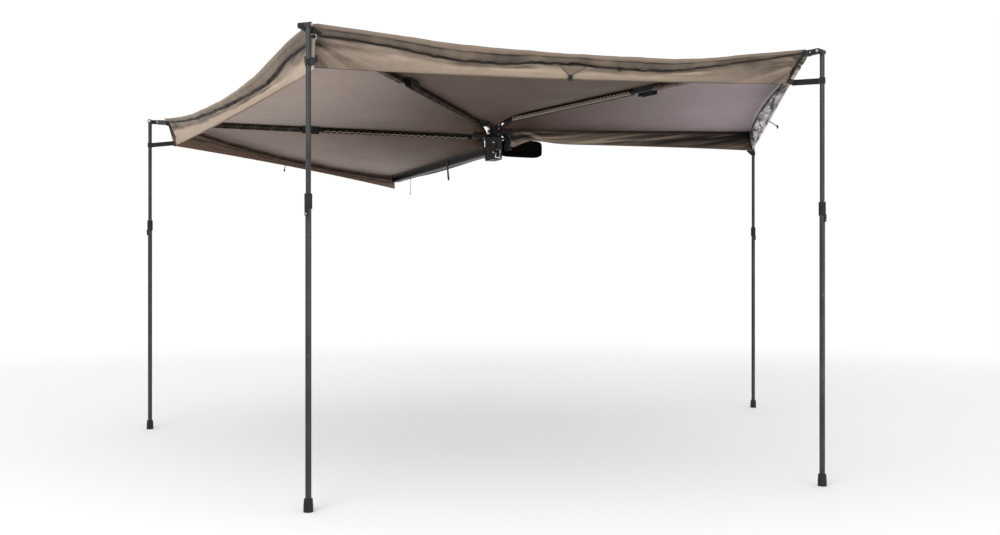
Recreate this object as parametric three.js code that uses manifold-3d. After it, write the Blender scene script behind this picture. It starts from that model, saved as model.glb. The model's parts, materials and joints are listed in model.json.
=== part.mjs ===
// A fan awning for the side of a vehicle: a beam and hub on the roof rack, swinging arms with
// drop-down poles, and a canopy sewn in sectors between the arms.
// Millimetres. X runs forward along the beam, Y away from the vehicle, Z up.
// The origin is the centre of the rear rack bracket's underside.
import * as THREE from 'three';
import { mergeVertices } from 'three/addons/utils/BufferGeometryUtils.js';
import Module from 'manifold-3d';

const wasm = await Module();
wasm.setup();

// Driving dimensions
const runningGap = 0.3; // between faces that touch or turn on each other
const pivotGap = 0.05; // round a turning bar
const overrun = 2; // how far a cutting tool passes the face that it cuts
const rackHeight = 1600; // rack face above the ground
const hub = { back: 200, out: 75.3 }; // pivot axis behind and outboard of the rear bracket
const sides = { rod: 24, small: 16, grip: 8, hexagon: 6 }; // flats on a round piece

const pin = { radius: 8, seat: 40, top: 190 };
const nut = { across: 26, height: 9 };
const deck = { length: 120, width: 100, thickness: 8, corner: 22, top: 61.5 };
const knuckle = { thickness: 21, eye: 26, halfWidth: 18, reach: 118, limb: 36, cheek: 13 };
const eyeHeight = 26.4;
const stackPitch = eyeHeight + runningGap;

const tube = { width: 20, height: 26, wall: 2, corner: 3 };
const spigot = { clearance: 0.6, length: 55 };
const arm = { length: 1986, pairPitch: 60, firstAside: -105, poleSide: 30, tubeGap: 1.2,
  tipSetback: 40 };
const barrel = { radius: 11, armOverhang: 11.5, eyeWidth: 25, eyeGap: 0.5 };
const polePin = { radius: 4, head: 7, headThickness: 2, clearance: 0.06 };
const clip = { along: 1010, length: 95, wall: 2.6, roof: 1.2, clearance: 0.5, drop: 13 };

const upper = { radius: 10, wall: 1.2, inserted: 480, neck: 8 };
const lower = { radius: 11.5, slideGap: 0.08, top: 1195 };
const collar = { radius: 15, height: 57, lip: 6, turnGap: 0.35, ribs: 12, ribRadius: 1.2 };
const foot = { radius: 18.5, shoulder: 16.5, height: 50, plug: 30 };
const tongue = { width: 14, height: 32, top: 5, from: 11.9, to: 16.6 };
const button = { radius: 4, from: 14.4, to: 18.8, drop: 20, gap: 0.08 };
const strap = { drop: 135, height: 25, thickness: 2.5, tab: 32, gap: 2 };

const beam = { length: 1824, width: 50, height: 48, wall: 8, corner: 5, top: 19, start: 62 };
const slot = { width: 9, depth: 5, lowered: 7 };
const endCap = { thickness: 7, lip: 0.2, plug: 24 };
const rackPlate = { length: 62, leg: 100, thickness: 6, drop: 27, slotWidth: 9, slotLength: 22 };
const slotOut = 21.5; // from the beam's side to the middle of a slot
const slotSpacing = 34;
const nutStrip = { thickness: 4.2, beyond: 8 };
const frontBracketForward = 1050; // from the rear bracket to the front one
const bolt = { radius: 4, headRadius: 7, headHeight: 5, spacing: 36, clearance: 0.3 };

const column = { back: 46, forward: 60, halfWidth: 30, bottom: -62 };
const tie = { reach: 40, side: -52, width: 22, thickness: 8, foot: 16 };

const cloth = { thickness: 2.4, inner: 170, hemAlong: 1915, over: 0.6, split: 2, flat: 13,
  flatByPole: 47 };
const slit = { before: 13.5, after: 47, turnAlong: 1886 };

// The arms in the order in which they lie beside the beam: turn from the beam in degrees, place
// in the hub's stack, height of the pole hinge over the rack face, and set-back of the valance.
const armTurns = [66.4, 137, 200.4, 273.6];
const stackPlaces = [0, 2, 3, 1];
const tipHeights = [173, 238, 236, 220];
const cornerSetbacks = [126, 126, 150, 44];
const valanceFeet = [34, 97, 114, 114]; // height of the valance's lower corner at each arm
const firstHemEnd = { pastBeam: 30, foot: -78 }; // where the first sector meets the beam
const hemSags = [46, 92, 73, 78];
const footSags = [-12, 14, 8, 8];
const hingeFromRoot = (count) => arm.firstAside + (count - 1) * arm.pairPitch;
const lastValance = { from: 345, nearDrop: 104, middleDrop: 88, farDrop: 104, wave: 4.5 };

// The storage bag: its edges and ends, how it lies and stands, and places along it as shares
const bag = { near: -62, far: -320, lyingFar: -150, rear: 30, front: 1880, lyingTop: 46, standingBottom: -28,
  standingTop: 66, flatter: 1.1 }; // flatter: how much the underside is pressed flat
const bagStations = [0, 0.007, 0.027, 0.051, 0.07, 0.25, 0.47, 0.69, 0.9, 0.988, 1];
const bagStandShares = [0.9, 1, 1, 0.35, 0, 0, 0, 0, 0, 0, 0];
const bagFullShares = [0.82, 1, 1, 1, 1, 0.94, 1, 0.95, 1, 0.97, 0.8];

// Colours
const finish = (color, roughness, metalness) =>
  new THREE.MeshStandardMaterial({ color, roughness, metalness });
const blackMetal = finish(0x262628, 0.5, 0.6);
const greyTube = finish(0x4a4a4b, 0.45, 0.7);
const blackPlastic = finish(0x1b1b1c, 0.55, 0);
const steel = finish(0xb9babb, 0.3, 1);
const brownCloth = finish(0x8a7a69, 0.9, 0);
const blackCloth = finish(0x17181a, 0.85, 0);
const webbing = finish(0x2a2a2b, 0.9, 0);

// Solids
function asSolid(geometry) {
  const bare = geometry.clone();
  bare.deleteAttribute('normal');
  bare.deleteAttribute('uv');
  const merged = mergeVertices(bare);
  const corners = merged.index.array;
  const kept = [];
  for (let i = 0; i < corners.length; i += 3) {
    const [a, b, c] = [corners[i], corners[i + 1], corners[i + 2]];
    if (a !== b && b !== c && c !== a) kept.push(a, b, c);
  }
  return new wasm.Manifold(new wasm.Mesh({
    numProp: 3,
    vertProperties: Float32Array.from(merged.attributes.position.array),
    triVerts: Uint32Array.from(kept),
  }));
}

function asGeometry(solid) {
  const mesh = solid.getMesh();
  const geometry = new THREE.BufferGeometry();
  geometry.setAttribute('position', new THREE.BufferAttribute(mesh.vertProperties.slice(), 3));
  geometry.setIndex(new THREE.BufferAttribute(mesh.triVerts.slice(), 1));
  geometry.computeVertexNormals();
  return geometry;
}

const join = (...pieces) => asGeometry(pieces.map(asSolid).reduce((a, b) => a.add(b)));
const cut = (piece, ...tools) =>
  asGeometry(tools.map(asSolid).reduce((a, b) => a.subtract(b), asSolid(piece)));

function box(x0, x1, y0, y1, z0, z1) {
  const geometry = new THREE.BoxGeometry(x1 - x0, y1 - y0, z1 - z0);
  return geometry.translate((x0 + x1) / 2, (y0 + y1) / 2, (z0 + z1) / 2);
}

// A round bar standing on Z from one height to another
function rod(radius, bottom, top, flats = sides.rod, topRadius = radius) {
  const bar = new THREE.CylinderGeometry(topRadius, radius, top - bottom, flats);
  return bar.rotateX(Math.PI / 2).translate(0, 0, (bottom + top) / 2);
}

// A round bar lying along Y
function crossRod(radius, from, to, flats = sides.rod) {
  const bar = new THREE.CylinderGeometry(radius, radius, to - from, flats);
  return bar.translate(0, (from + to) / 2, 0);
}

// A hole whose flats clear a round bar of this radius
const holeRadius = (radius, gap, flats = sides.rod) => (radius + gap) / Math.cos(Math.PI / flats);

function pipe(radius, innerRadius, bottom, top) {
  return cut(rod(radius, bottom, top), rod(innerRadius, bottom - overrun, top + overrun));
}

function roundedOutline(width, height, corner) {
  const [x, y] = [width / 2, height / 2];
  const outline = new THREE.Shape();
  outline.moveTo(x - corner, -y);
  outline.absarc(x - corner, corner - y, corner, -Math.PI / 2, 0);
  outline.absarc(x - corner, y - corner, corner, 0, Math.PI / 2);
  outline.absarc(corner - x, y - corner, corner, Math.PI / 2, Math.PI);
  outline.absarc(corner - x, corner - y, corner, Math.PI, 1.5 * Math.PI);
  return outline;
}

const cornerSteps = 2;
const flat = (outline, depth) =>
  new THREE.ExtrudeGeometry(outline, { depth, bevelEnabled: false, curveSegments: cornerSteps });

// Turns an extrusion so that its outline stands across X
const toX = new THREE.Matrix4().set(0, 0, 1, 0, 1, 0, 0, 0, 0, 1, 0, 0, 0, 0, 0, 1);

function squareTube(width, height, corner, wall, from, to) {
  const outer = flat(roundedOutline(width, height, corner), to - from);
  const inner = flat(
    roundedOutline(width - 2 * wall, height - 2 * wall, corner - wall / 2),
    to - from + 2 * overrun,
  );
  return cut(outer, inner.translate(0, 0, -overrun)).applyMatrix4(toX).translate(from, 0, 0);
}

// A closed skin through rings of points, with a fan at each end
function loft(rings) {
  const count = rings[0].length;
  const points = rings.flat();
  const middles = [rings[0], rings.at(-1)].map((ring) =>
    ring.reduce((sum, p) => sum.add(p), new THREE.Vector3()).divideScalar(count));
  const first = points.push(middles[0], middles[1]) - 2;
  const triangles = [];
  for (let i = 0; i < count; i++) {
    const next = (i + 1) % count;
    for (let k = 0; k + 1 < rings.length; k++) {
      const [a, b] = [k * count + i, k * count + next];
      triangles.push(a, b, a + count, b, b + count, a + count);
    }
    const last = (rings.length - 1) * count;
    triangles.push(first, next, i, first + 1, last + i, last + next);
  }
  return closedGeometry(points, triangles);
}

// A sheet with two faces: pointAt gives the outer face and insideAt the inner one
function thickSheet(columns, rows, pointAt, insideAt) {
  const points = [];
  for (const at of [pointAt, insideAt]) {
    for (let c = 0; c <= columns; c++) {
      for (let r = 0; r <= rows; r++) points.push(at(c, r));
    }
  }
  const place = (face, c, r) => (face * (columns + 1) + c) * (rows + 1) + r;
  const triangles = [];
  const quad = (a, b, c, d) => triangles.push(a, b, c, a, c, d);
  for (let c = 0; c < columns; c++) {
    for (let r = 0; r < rows; r++) {
      quad(place(0, c, r), place(0, c, r + 1), place(0, c + 1, r + 1), place(0, c + 1, r));
      quad(place(1, c, r), place(1, c + 1, r), place(1, c + 1, r + 1), place(1, c, r + 1));
    }
    quad(place(0, c, 0), place(0, c + 1, 0), place(1, c + 1, 0), place(1, c, 0));
    quad(place(0, c, rows), place(1, c, rows), place(1, c + 1, rows), place(0, c + 1, rows));
  }
  for (let r = 0; r < rows; r++) {
    quad(place(0, 0, r), place(1, 0, r), place(1, 0, r + 1), place(0, 0, r + 1));
    const c = columns;
    quad(place(0, c, r), place(0, c, r + 1), place(1, c, r + 1), place(1, c, r));
  }
  return closedGeometry(points, triangles);
}

// Faces are turned outwards if the volume comes out negative
function closedGeometry(points, triangles) {
  let volume = 0;
  for (let i = 0; i < triangles.length; i += 3) {
    const [a, b, c] = [points[triangles[i]], points[triangles[i + 1]], points[triangles[i + 2]]];
    volume += a.dot(new THREE.Vector3().crossVectors(b, c));
  }
  if (volume < 0) triangles.reverse();
  const geometry = new THREE.BufferGeometry().setFromPoints(points);
  geometry.setIndex(triangles);
  geometry.computeVertexNormals();
  return geometry;
}

const awning = new THREE.Group();
const pivot = new THREE.Group(); // everything is placed from the hub's pivot axis
pivot.position.set(-hub.back, hub.out, 0);
awning.add(pivot);

function add(parent, name, geometry, material) {
  const mesh = new THREE.Mesh(geometry, material);
  mesh.name = name;
  parent.add(mesh);
  return mesh;
}

// Beam: a hollow extrusion with a bolt slot down each side, and a plug in its front end
function addBeam() {
  const [from, to] = [beam.start, beam.start + beam.length];
  const middle = beam.top - beam.height / 2;
  const body = squareTube(beam.width, beam.height, beam.corner, beam.wall, from, to);
  const grooves = [-1, 1].map((side) => {
    const [inner, outer] = [beam.width / 2 - slot.depth, beam.width / 2 + overrun];
    const span = side > 0 ? [inner, outer] : [-outer, -inner];
    return box(from - overrun, to + overrun, ...span,
      -slot.lowered - slot.width / 2, slot.width / 2 - slot.lowered);
  });
  add(pivot, 'main_beam', cut(body, ...grooves).translate(0, 0, middle), blackMetal);

  const hollow = {
    width: beam.width - 2 * beam.wall - 2 * runningGap,
    height: beam.height - 2 * beam.wall - 2 * runningGap,
  };
  const face = flat(
    roundedOutline(beam.width + 2 * endCap.lip, beam.height + 2 * endCap.lip, beam.corner),
    endCap.thickness,
  ).applyMatrix4(toX).translate(to + runningGap, 0, 0);
  const plug = box(to - endCap.plug, to + endCap.thickness / 2, -hollow.width / 2,
    hollow.width / 2, -hollow.height / 2, hollow.height / 2);
  add(pivot, 'beam_end_cap', join(face, plug).translate(0, 0, middle), blackPlastic);
  return { middle, hollow, from };
}

// Rack brackets: each an angle with two slots, held to the beam by two bolts in one nut strip
function addBrackets(middle) {
  const near = -beam.width / 2 - runningGap;
  const boltLine = middle - slot.lowered;
  const places = { rear_bracket: hub.back, front_bracket: hub.back + frontBracketForward };
  for (const [name, x] of Object.entries(places)) {
    const half = rackPlate.length / 2;
    const leg = box(x - half, x + half, near - rackPlate.leg, near, 0, rackPlate.thickness);
    const web = box(x - half, x + half, near - rackPlate.thickness, near,
      -rackPlate.drop, rackPlate.thickness);
    const slotMiddle = near - slotOut;
    const slots = [-1, 1].map((side) => {
      const across = x + side * slotSpacing / 2;
      return box(across - rackPlate.slotWidth / 2, across + rackPlate.slotWidth / 2,
        slotMiddle - rackPlate.slotLength / 2, slotMiddle + rackPlate.slotLength / 2,
        -overrun, rackPlate.thickness + overrun);
    });
    const holes = [-1, 1].map((side) =>
      crossRod(bolt.radius + bolt.clearance, near - rackPlate.thickness - overrun,
        near + overrun, sides.small).translate(x + side * bolt.spacing / 2, 0, boltLine));
    add(pivot, name, cut(join(leg, web), ...slots, ...holes), blackMetal);
    const face = near - rackPlate.thickness - runningGap;
    const stripFrom = near + 2 * runningGap;
    const stripTo = stripFrom + nutStrip.thickness;
    const halfStrip = bolt.spacing / 2 + nutStrip.beyond;
    const stripDepth = slot.width / 2 - runningGap;
    const pieces = [box(-halfStrip, halfStrip, stripFrom, stripTo, -stripDepth, stripDepth)];
    for (const side of [-1, 1]) {
      const shank = crossRod(bolt.radius, face - bolt.headHeight / 2, stripTo, sides.small);
      const head = crossRod(bolt.headRadius, face - bolt.headHeight, face, sides.hexagon);
      pieces.push(join(shank, head).translate(side * bolt.spacing / 2, 0, 0));
    }
    add(pivot, name.replace('bracket', 'bolts'), join(...pieces).translate(x, 0, boltLine), steel);
  }
}

// Hub: a base on the beam's rear end, a deck, the stacked knuckles on one pin and a top plate
function addHub({ middle, hollow, from }) {
  const plateBottom = deck.top + runningGap + armTurns.length * stackPitch;
  const plateTop = plateBottom + deck.thickness;
  const outline = roundedOutline(deck.length, deck.width, deck.corner);
  const bore = (low, high, gap) =>
    rod(holeRadius(pin.radius, gap), low - overrun, high + overrun);

  const plate = flat(outline, deck.thickness).translate(0, 0, deck.top - deck.thickness);
  const block = box(-column.back, column.forward, -column.halfWidth, column.halfWidth,
    column.bottom, deck.top - deck.thickness / 2);
  const nose = box(column.forward - overrun, from + spigot.length, -hollow.width / 2,
    hollow.width / 2, middle - hollow.height / 2, middle + hollow.height / 2);
  const relief = [-1, 1].map((side) => {
    const [inner, outer] = [column.halfWidth - overrun, column.halfWidth + overrun];
    const span = side > 0 ? [inner, outer] : [-outer, -inner];
    return box(overrun - column.back, column.forward - overrun, ...span,
      column.bottom + slot.width, 0);
  });
  const base = cut(join(plate, block, nose), ...relief,
    bore(-pin.seat + overrun, deck.top, runningGap));
  add(pivot, 'hub_base', base, blackMetal);

  // The top plate is folded down a side that no arm sweeps, and turned in under the deck
  const [sideOut, sideIn] = [tie.side - tie.thickness, tie.side];
  const [left, right] = [tie.reach - tie.width / 2, tie.reach + tie.width / 2];
  const lipTop = deck.top - deck.thickness - runningGap;
  const top = flat(outline, deck.thickness).translate(0, 0, plateBottom);
  const ledge = box(left, right, sideOut, 0, plateBottom, plateTop);
  const upright = box(left, right, sideOut, sideIn, lipTop - tie.thickness, plateTop);
  const lip = box(left, right, sideOut, sideIn + tie.foot, lipTop - tie.thickness, lipTop);
  const folded = join(top, ledge, upright, lip);
  add(pivot, 'hub_top_plate', cut(folded, bore(plateBottom, plateTop, runningGap)), blackMetal);

  add(pivot, 'hub_pin', rod(pin.radius, -pin.seat + runningGap, pin.top), steel);
  const nutBottom = plateTop + runningGap;
  const nutBody = rod(nut.across / Math.sqrt(3), nutBottom, nutBottom + nut.height, sides.hexagon);
  add(pivot, 'hub_nut', cut(nutBody, bore(nutBottom, nutBottom + nut.height, runningGap)), steel);
}

// The empty storage bag lies rolled beside the beam on the brackets, with its rear end opened out
function addBag() {
  const lying = { bottom: rackPlate.thickness + runningGap, top: bag.lyingTop };
  const standing = { bottom: bag.standingBottom, top: bag.standingTop };
  const count = 14;
  const rings = bagStations.map((share, k) => {
    const x = THREE.MathUtils.lerp(bag.rear, bag.front, share);
    const bottom = THREE.MathUtils.lerp(lying.bottom, standing.bottom, bagStandShares[k]);
    const top = THREE.MathUtils.lerp(lying.top, standing.top, bagStandShares[k]);
    return Array.from({ length: count }, (_, i) => {
      const turn = (2 * Math.PI * (i + 0.5)) / count;
      const square = (v) => Math.sign(v) * Math.abs(v) ** 0.55;
      const far = THREE.MathUtils.lerp(bag.lyingFar, bag.far, bagStandShares[k]);
      const halfWidth = bagFullShares[k] * (bag.near - far) / 2;
      const across = (bag.near + far) / 2 + square(Math.cos(turn)) * halfWidth;
      const rise = square(Math.sin(turn));
      const lift = rise > 0 ? rise * bagFullShares[k] : Math.max(-1, rise * bag.flatter);
      return new THREE.Vector3(x, across, (bottom + top) / 2 + lift * (top - bottom) / 2);
    });
  });
  add(pivot, 'storage_bag', loft(rings), blackCloth);
}

// Where each arm stands. Laterals run to the left of the arm, seen from above.
const beamLine = { turn: 0, lateral: 0, level: beam.top - tube.height / 2, slope: 0 };
const arms = armTurns.map((degrees, k) => {
  const level = deck.top + runningGap + eyeHeight / 2 + stackPlaces[k] * stackPitch;
  return {
    number: k + 1,
    turn: THREE.MathUtils.degToRad(degrees),
    lateral: hingeFromRoot(k + 1),
    level,
    tip: tipHeights[k],
    slope: Math.asin((tipHeights[k] - level) / arm.length),
    setback: cornerSetbacks[k],
    valanceFoot: valanceFeet[k],
  };
});

function addArm(place) {
  const { number, turn, lateral, level, slope, tip } = place;
  const swing = new THREE.Group();
  swing.rotation.z = turn;
  pivot.add(swing);
  const sloped = new THREE.Group();
  sloped.position.set(0, lateral, level);
  sloped.rotation.y = -slope;
  swing.add(sloped);
  const name = `arm_${number}`;

  // Knuckle: an eye on the hub pin, a limb across to the arm's line, and a spigot for the tube
  const half = knuckle.thickness / 2;
  const [eyeFrom, eyeTo] = [level - eyeHeight / 2, level + eyeHeight / 2];
  const eye = rod(knuckle.eye, eyeFrom, eyeTo);
  const barOut = knuckle.reach - runningGap;
  const bar = box(0, barOut, -knuckle.halfWidth, knuckle.halfWidth, level - half, level + half);
  const [low, high] = [Math.min(0, lateral) - knuckle.cheek, Math.max(0, lateral) + knuckle.cheek];
  const limb = box(knuckle.reach - knuckle.limb, barOut, low, high, level - half, level + half);
  const inside = {
    width: tube.width / 2 - tube.wall - spigot.clearance,
    height: tube.height / 2 - tube.wall - spigot.clearance,
  };
  const plug = box(knuckle.reach - knuckle.limb / 2, knuckle.reach + spigot.length,
    -inside.width, inside.width, -inside.height, inside.height);
  plug.rotateY(-slope).translate(0, lateral, level);
  const bore = rod(holeRadius(pin.radius, pivotGap), eyeFrom - overrun, eyeTo + overrun);
  add(swing, `${name}_knuckle`, cut(join(eye, bar, limb, plug), bore), blackMetal);

  // Arm tube and the bracket in its far end, with the arm's half of the pole hinge
  const [from, to] = [knuckle.reach + arm.tubeGap, arm.length - arm.tipSetback];
  const body = squareTube(tube.width, tube.height, tube.corner, tube.wall, from, to);
  add(sloped, `${name}_tube`, body, greyTube);

  const hinge = { x: arm.length, y: arm.poleSide };
  const armEnd = hinge.y - barrel.eyeWidth / 2 - barrel.eyeGap;
  const shell = crossRod(barrel.radius, -barrel.armOverhang, armEnd).translate(hinge.x, 0, 0);
  const neck = box(to + runningGap, hinge.x, -tube.width / 2, tube.width / 2,
    -barrel.radius + runningGap, barrel.radius - runningGap);
  const stem = box(to - spigot.length, to + overrun, -inside.width, inside.width,
    -inside.height, inside.height);
  const pinHole = crossRod(holeRadius(polePin.radius, polePin.clearance),
    -barrel.armOverhang - overrun, armEnd + overrun).translate(hinge.x, 0, 0);
  add(sloped, `${name}_tip`, cut(join(shell, neck, stem), pinHole), blackPlastic);

  const outer = hinge.y + barrel.eyeWidth / 2 + barrel.eyeGap;
  const shank = crossRod(polePin.radius, -barrel.armOverhang - polePin.headThickness, outer
    + polePin.headThickness);
  const heads = [-barrel.armOverhang - runningGap - polePin.headThickness, outer].map((y) =>
    crossRod(polePin.head, y, y + polePin.headThickness, sides.hexagon));
  add(sloped, `pole_${number}_pin`, join(shank, ...heads).translate(hinge.x, 0, 0), steel);

  // Clip: a channel on the arm's side, open below, that takes the folded pole
  const room = lower.radius + clip.clearance;
  const clipEnd = clip.along + clip.length;
  const pad = box(clip.along, clipEnd, tube.width / 2 + runningGap, hinge.y - room,
    -tube.height / 2, tube.height / 2 - tube.corner);
  const walls = box(clip.along, clipEnd, hinge.y - room - clip.wall,
    hinge.y + room + clip.wall, -tube.height / 2 - clip.drop, room + clip.roof);
  const channel = box(clip.along - overrun, clipEnd + overrun, hinge.y - room,
    hinge.y + room, -tube.height / 2 - clip.drop - overrun, room);
  add(sloped, `${name}_clip`, cut(join(pad, walls), channel), blackPlastic);

  addPole(swing, place, tip + rackHeight);
}

// Pole: an eye on the hinge pin, two tubes that slide, a twist collar between them and a foot
function addPole(swing, { number, lateral, slope, tip, setback }, height) {
  const stand = new THREE.Group();
  stand.position.set(arm.length * Math.cos(slope), lateral + arm.poleSide, tip);
  swing.add(stand);
  const name = `pole_${number}`;
  const lowerTop = lower.top - height;
  const ground = -height;

  const eye = crossRod(barrel.radius, -barrel.eyeWidth / 2, barrel.eyeWidth / 2);
  const bar = rod(upper.radius, lowerTop - upper.inserted, 0);
  const bore = rod(upper.radius - upper.wall, lowerTop - upper.inserted - overrun,
    -barrel.radius - upper.neck);
  const pinHole = crossRod(holeRadius(polePin.radius, polePin.clearance),
    -barrel.eyeWidth / 2 - overrun, barrel.eyeWidth / 2 + overrun);
  add(stand, `${name}_upper`, cut(join(eye, bar), bore, pinHole), greyTube);

  const lowerInner = upper.radius + lower.slideGap;
  const lowerFrom = ground + foot.height + runningGap;
  add(stand, `${name}_lower`, pipe(lower.radius, lowerInner, lowerFrom, lowerTop), greyTube);

  const collarBottom = lowerTop + collar.lip - collar.height;
  const sleeve = rod(collar.radius, collarBottom, lowerTop + collar.lip);
  const seat = rod(holeRadius(lower.radius, collar.turnGap), collarBottom - overrun,
    lowerTop + runningGap);
  const throat = rod(holeRadius(upper.radius, collar.turnGap), collarBottom,
    lowerTop + collar.lip + overrun);
  const grips = Array.from({ length: collar.ribs }, (_, i) => {
    const turn = (2 * Math.PI * i) / collar.ribs;
    return rod(collar.ribRadius, collarBottom + collar.lip, lowerTop - collar.lip, sides.grip)
      .translate(collar.radius * Math.cos(turn), collar.radius * Math.sin(turn), 0);
  });
  // A tongue below the collar holds the button that frees the lower tube
  const tongueTop = collarBottom + tongue.top;
  const shelf = box(tongue.from, tongue.to, -tongue.width / 2, tongue.width / 2,
    tongueTop - tongue.height, tongueTop);
  const buttonHeight = collarBottom - button.drop;
  const buttonRod = (radius, from, to) =>
    rod(radius, from, to, sides.small).rotateY(Math.PI / 2).translate(0, 0, buttonHeight);
  const socket = buttonRod(holeRadius(button.radius, button.gap, sides.small), 0,
    tongue.to + overrun);
  add(stand, `${name}_collar`, cut(join(sleeve, shelf), seat, throat, socket, ...grips),
    blackPlastic);
  add(stand, `${name}_button`, buttonRod(button.radius, button.from, button.to), steel);

  const sole = rod(foot.radius, ground, ground + foot.height / 2);
  const upperSole = rod(foot.radius, ground + foot.height / 2 - runningGap,
    ground + foot.height, sides.rod, foot.shoulder);
  const peg = rod(lowerInner - runningGap, ground + foot.height / 2,
    ground + foot.height + foot.plug);
  add(stand, `${name}_foot`, join(sole, upperSole, peg), blackPlastic);

  // Corner strap: webbing looped round the pole and sewn to the valance corner
  const loopOuter = upper.radius + strap.thickness + runningGap;
  const [top, bottom] = [strap.height / 2 - strap.drop, -strap.height / 2 - strap.drop];
  const tailEnd = -setback + strap.gap;
  const loop = rod(loopOuter, bottom, top);
  const tail = box(tailEnd, 0, -strap.thickness, strap.thickness, bottom, top);
  const tab = box(tailEnd, tailEnd + strap.thickness, -strap.tab / 2, strap.tab / 2, bottom, top);
  const hole = rod(holeRadius(upper.radius, runningGap), bottom - overrun, top + overrun);
  add(stand, `${name}_strap`, cut(join(loop, tail, tab), hole), webbing);
}

// A point over an arm: how far along it, how far to its left and how far above its centre
function over(line, along, left, up) {
  const { turn, lateral, level, slope } = line;
  const point = new THREE.Vector3(
    along * Math.cos(slope) - up * Math.sin(slope),
    lateral + left,
    level + along * Math.sin(slope) + up * Math.cos(slope),
  );
  return point.applyAxisAngle(new THREE.Vector3(0, 0, 1), turn);
}

// Canopy sector: a sheet sagging between two arms, with a folded valance hanging from its hem.
// The valance stops short of each arm, so that a pole can swing up beside the arm.
const roofRows = 8;
const foldDrops = [0, 0, 0.24, 0.44, 0.52, 0.74, 1]; // shares of the valance's height
const foldBulgeShares = [0, 0, 1, -0.6, 0.5, 1, 0];
const foldBulge = 9;
const sectorColumns = 16;

function addSector(number, before, after) {
  const lift = tube.height / 2 + cloth.over + cloth.thickness;
  const atBeam = before === beamLine;
  const beamHem = beam.start + beam.length + firstHemEnd.pastBeam;
  const hemStart = atBeam ? beamHem : cloth.hemAlong;
  const reach = (line) => arm.length - line.setback;
  const startFoot = atBeam
    ? new THREE.Vector3(beamHem, -cloth.thickness, firstHemEnd.foot)
    : over(before, reach(before), slit.after, 0).setZ(before.valanceFoot);
  const endFoot = over(after, reach(after), -slit.before, 0).setZ(after.valanceFoot);
  const startTurn = atBeam ? over(before, hemStart, 0, lift)
    : over(before, slit.turnAlong, slit.after, lift);
  const endTurn = over(after, slit.turnAlong, -slit.before, lift);
  const arch = (share) => 4 * share * (1 - share);
  const rows = roofRows + foldDrops.length - 1;
  const outward = new THREE.Vector3()
    .addVectors(over(before, 1, 0, 0), over(after, 1, 0, 0))
    .sub(over(before, 0, 0, 0)).sub(over(after, 0, 0, 0)).setZ(0).normalize();

  // The first and last columns lie flat over the arms, and the rest sag between them
  const flatBefore = atBeam ? beam.width / 2 + cloth.flat : cloth.flatByPole;
  const roofPoint = (c, row, up) => {
    const rowShare = row / roofRows;
    const inner = cloth.inner;
    const [alongStart, alongEnd] = [hemStart, cloth.hemAlong].map((hem) =>
      inner + (hem - inner) * rowShare);
    if (c === 0) return over(before, alongStart, cloth.split, up);
    if (c === sectorColumns) return over(after, alongEnd, -cloth.split, up);
    const share = (c - 1) / (sectorColumns - 2);
    const point = over(before, alongStart, flatBefore, up)
      .lerp(over(after, alongEnd, -cloth.flat, up), share);
    point.z -= hemSags[number - 1] * arch(share) * rowShare;
    return point;
  };
  const valancePoint = (c, row) => {
    const share = c / sectorColumns;
    const k = row - roofRows;
    const top = startTurn.clone().lerp(endTurn, share);
    top.z -= hemSags[number - 1] * arch(share);
    const bottom = startFoot.clone().lerp(endFoot, share);
    bottom.z -= footSags[number - 1] * arch(share);
    const point = top.lerp(bottom, foldDrops[k]);
    return point.addScaledVector(outward, foldBulge * foldBulgeShares[k] * arch(share));
  };
  const pointAt = (c, r) => (r <= roofRows ? roofPoint(c, r, lift) : valancePoint(c, r));
  const insideAt = (c, r) => {
    if (r < roofRows) return roofPoint(c, r, lift - cloth.thickness);
    const inward = outward.clone().multiplyScalar(-cloth.thickness);
    if (r === roofRows) return roofPoint(c, r, lift - cloth.thickness).add(inward);
    const point = valancePoint(c, r).add(inward);
    if (r === roofRows + 1) point.z -= cloth.thickness;
    return point;
  };
  add(pivot, `canopy_${number}`, thickSheet(sectorColumns, rows, pointAt, insideAt), brownCloth);
}

// The valance along the last arm hangs under it in soft folds
const valanceCornerShare = 0.06;
const valanceWaves = 6;

function addLastValance(line) {
  const columns = 30;
  const drops = [0, 0.3, 0.65, 1];
  const { from, nearDrop, middleDrop, farDrop, wave: waveOut } = lastValance;
  const to = arm.length - line.setback;
  const top = -tube.height / 2 - cloth.over;
  const point = (c, r, left) => {
    const share = c / columns;
    const nearness = Math.max(0, 1 - share / valanceCornerShare);
    const drop = middleDrop + (nearDrop - middleDrop) * nearness
      + (farDrop - middleDrop) * share ** 2;
    const wave = waveOut * Math.sin(2 * Math.PI * valanceWaves * share) * drops[r];
    const at = over(line, from + (to - from) * share, left + wave, top);
    at.z -= drop * drops[r];
    return at;
  };
  const half = cloth.thickness / 2;
  const sheet = thickSheet(columns, drops.length - 1,
    (c, r) => point(c, r, half), (c, r) => point(c, r, -half));
  add(pivot, 'last_valance', sheet, brownCloth);
}

addHub(addBeamAndBrackets());
addBag();
arms.forEach(addArm);
arms.forEach((after, k) => addSector(k + 1, k === 0 ? beamLine : arms[k - 1], after));
addLastValance(arms.at(-1));

function addBeamAndBrackets() {
  const made = addBeam();
  addBrackets(made.middle);
  return made;
}

export default awning;
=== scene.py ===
# %% [markdown]
# A fan awning, dressed in Blender: a cloth roof on four arms that turn about one hub, with a pole
# under the end of each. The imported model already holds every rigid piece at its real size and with
# its joints. This lesson leaves those pieces where they are and gives them cloth, webbing, small
# trims and finishes. It starts by loading the fixed frame.
# %% Load the frame
import json
import math

import bpy
import numpy as np
from mathutils import Matrix, Vector

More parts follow.
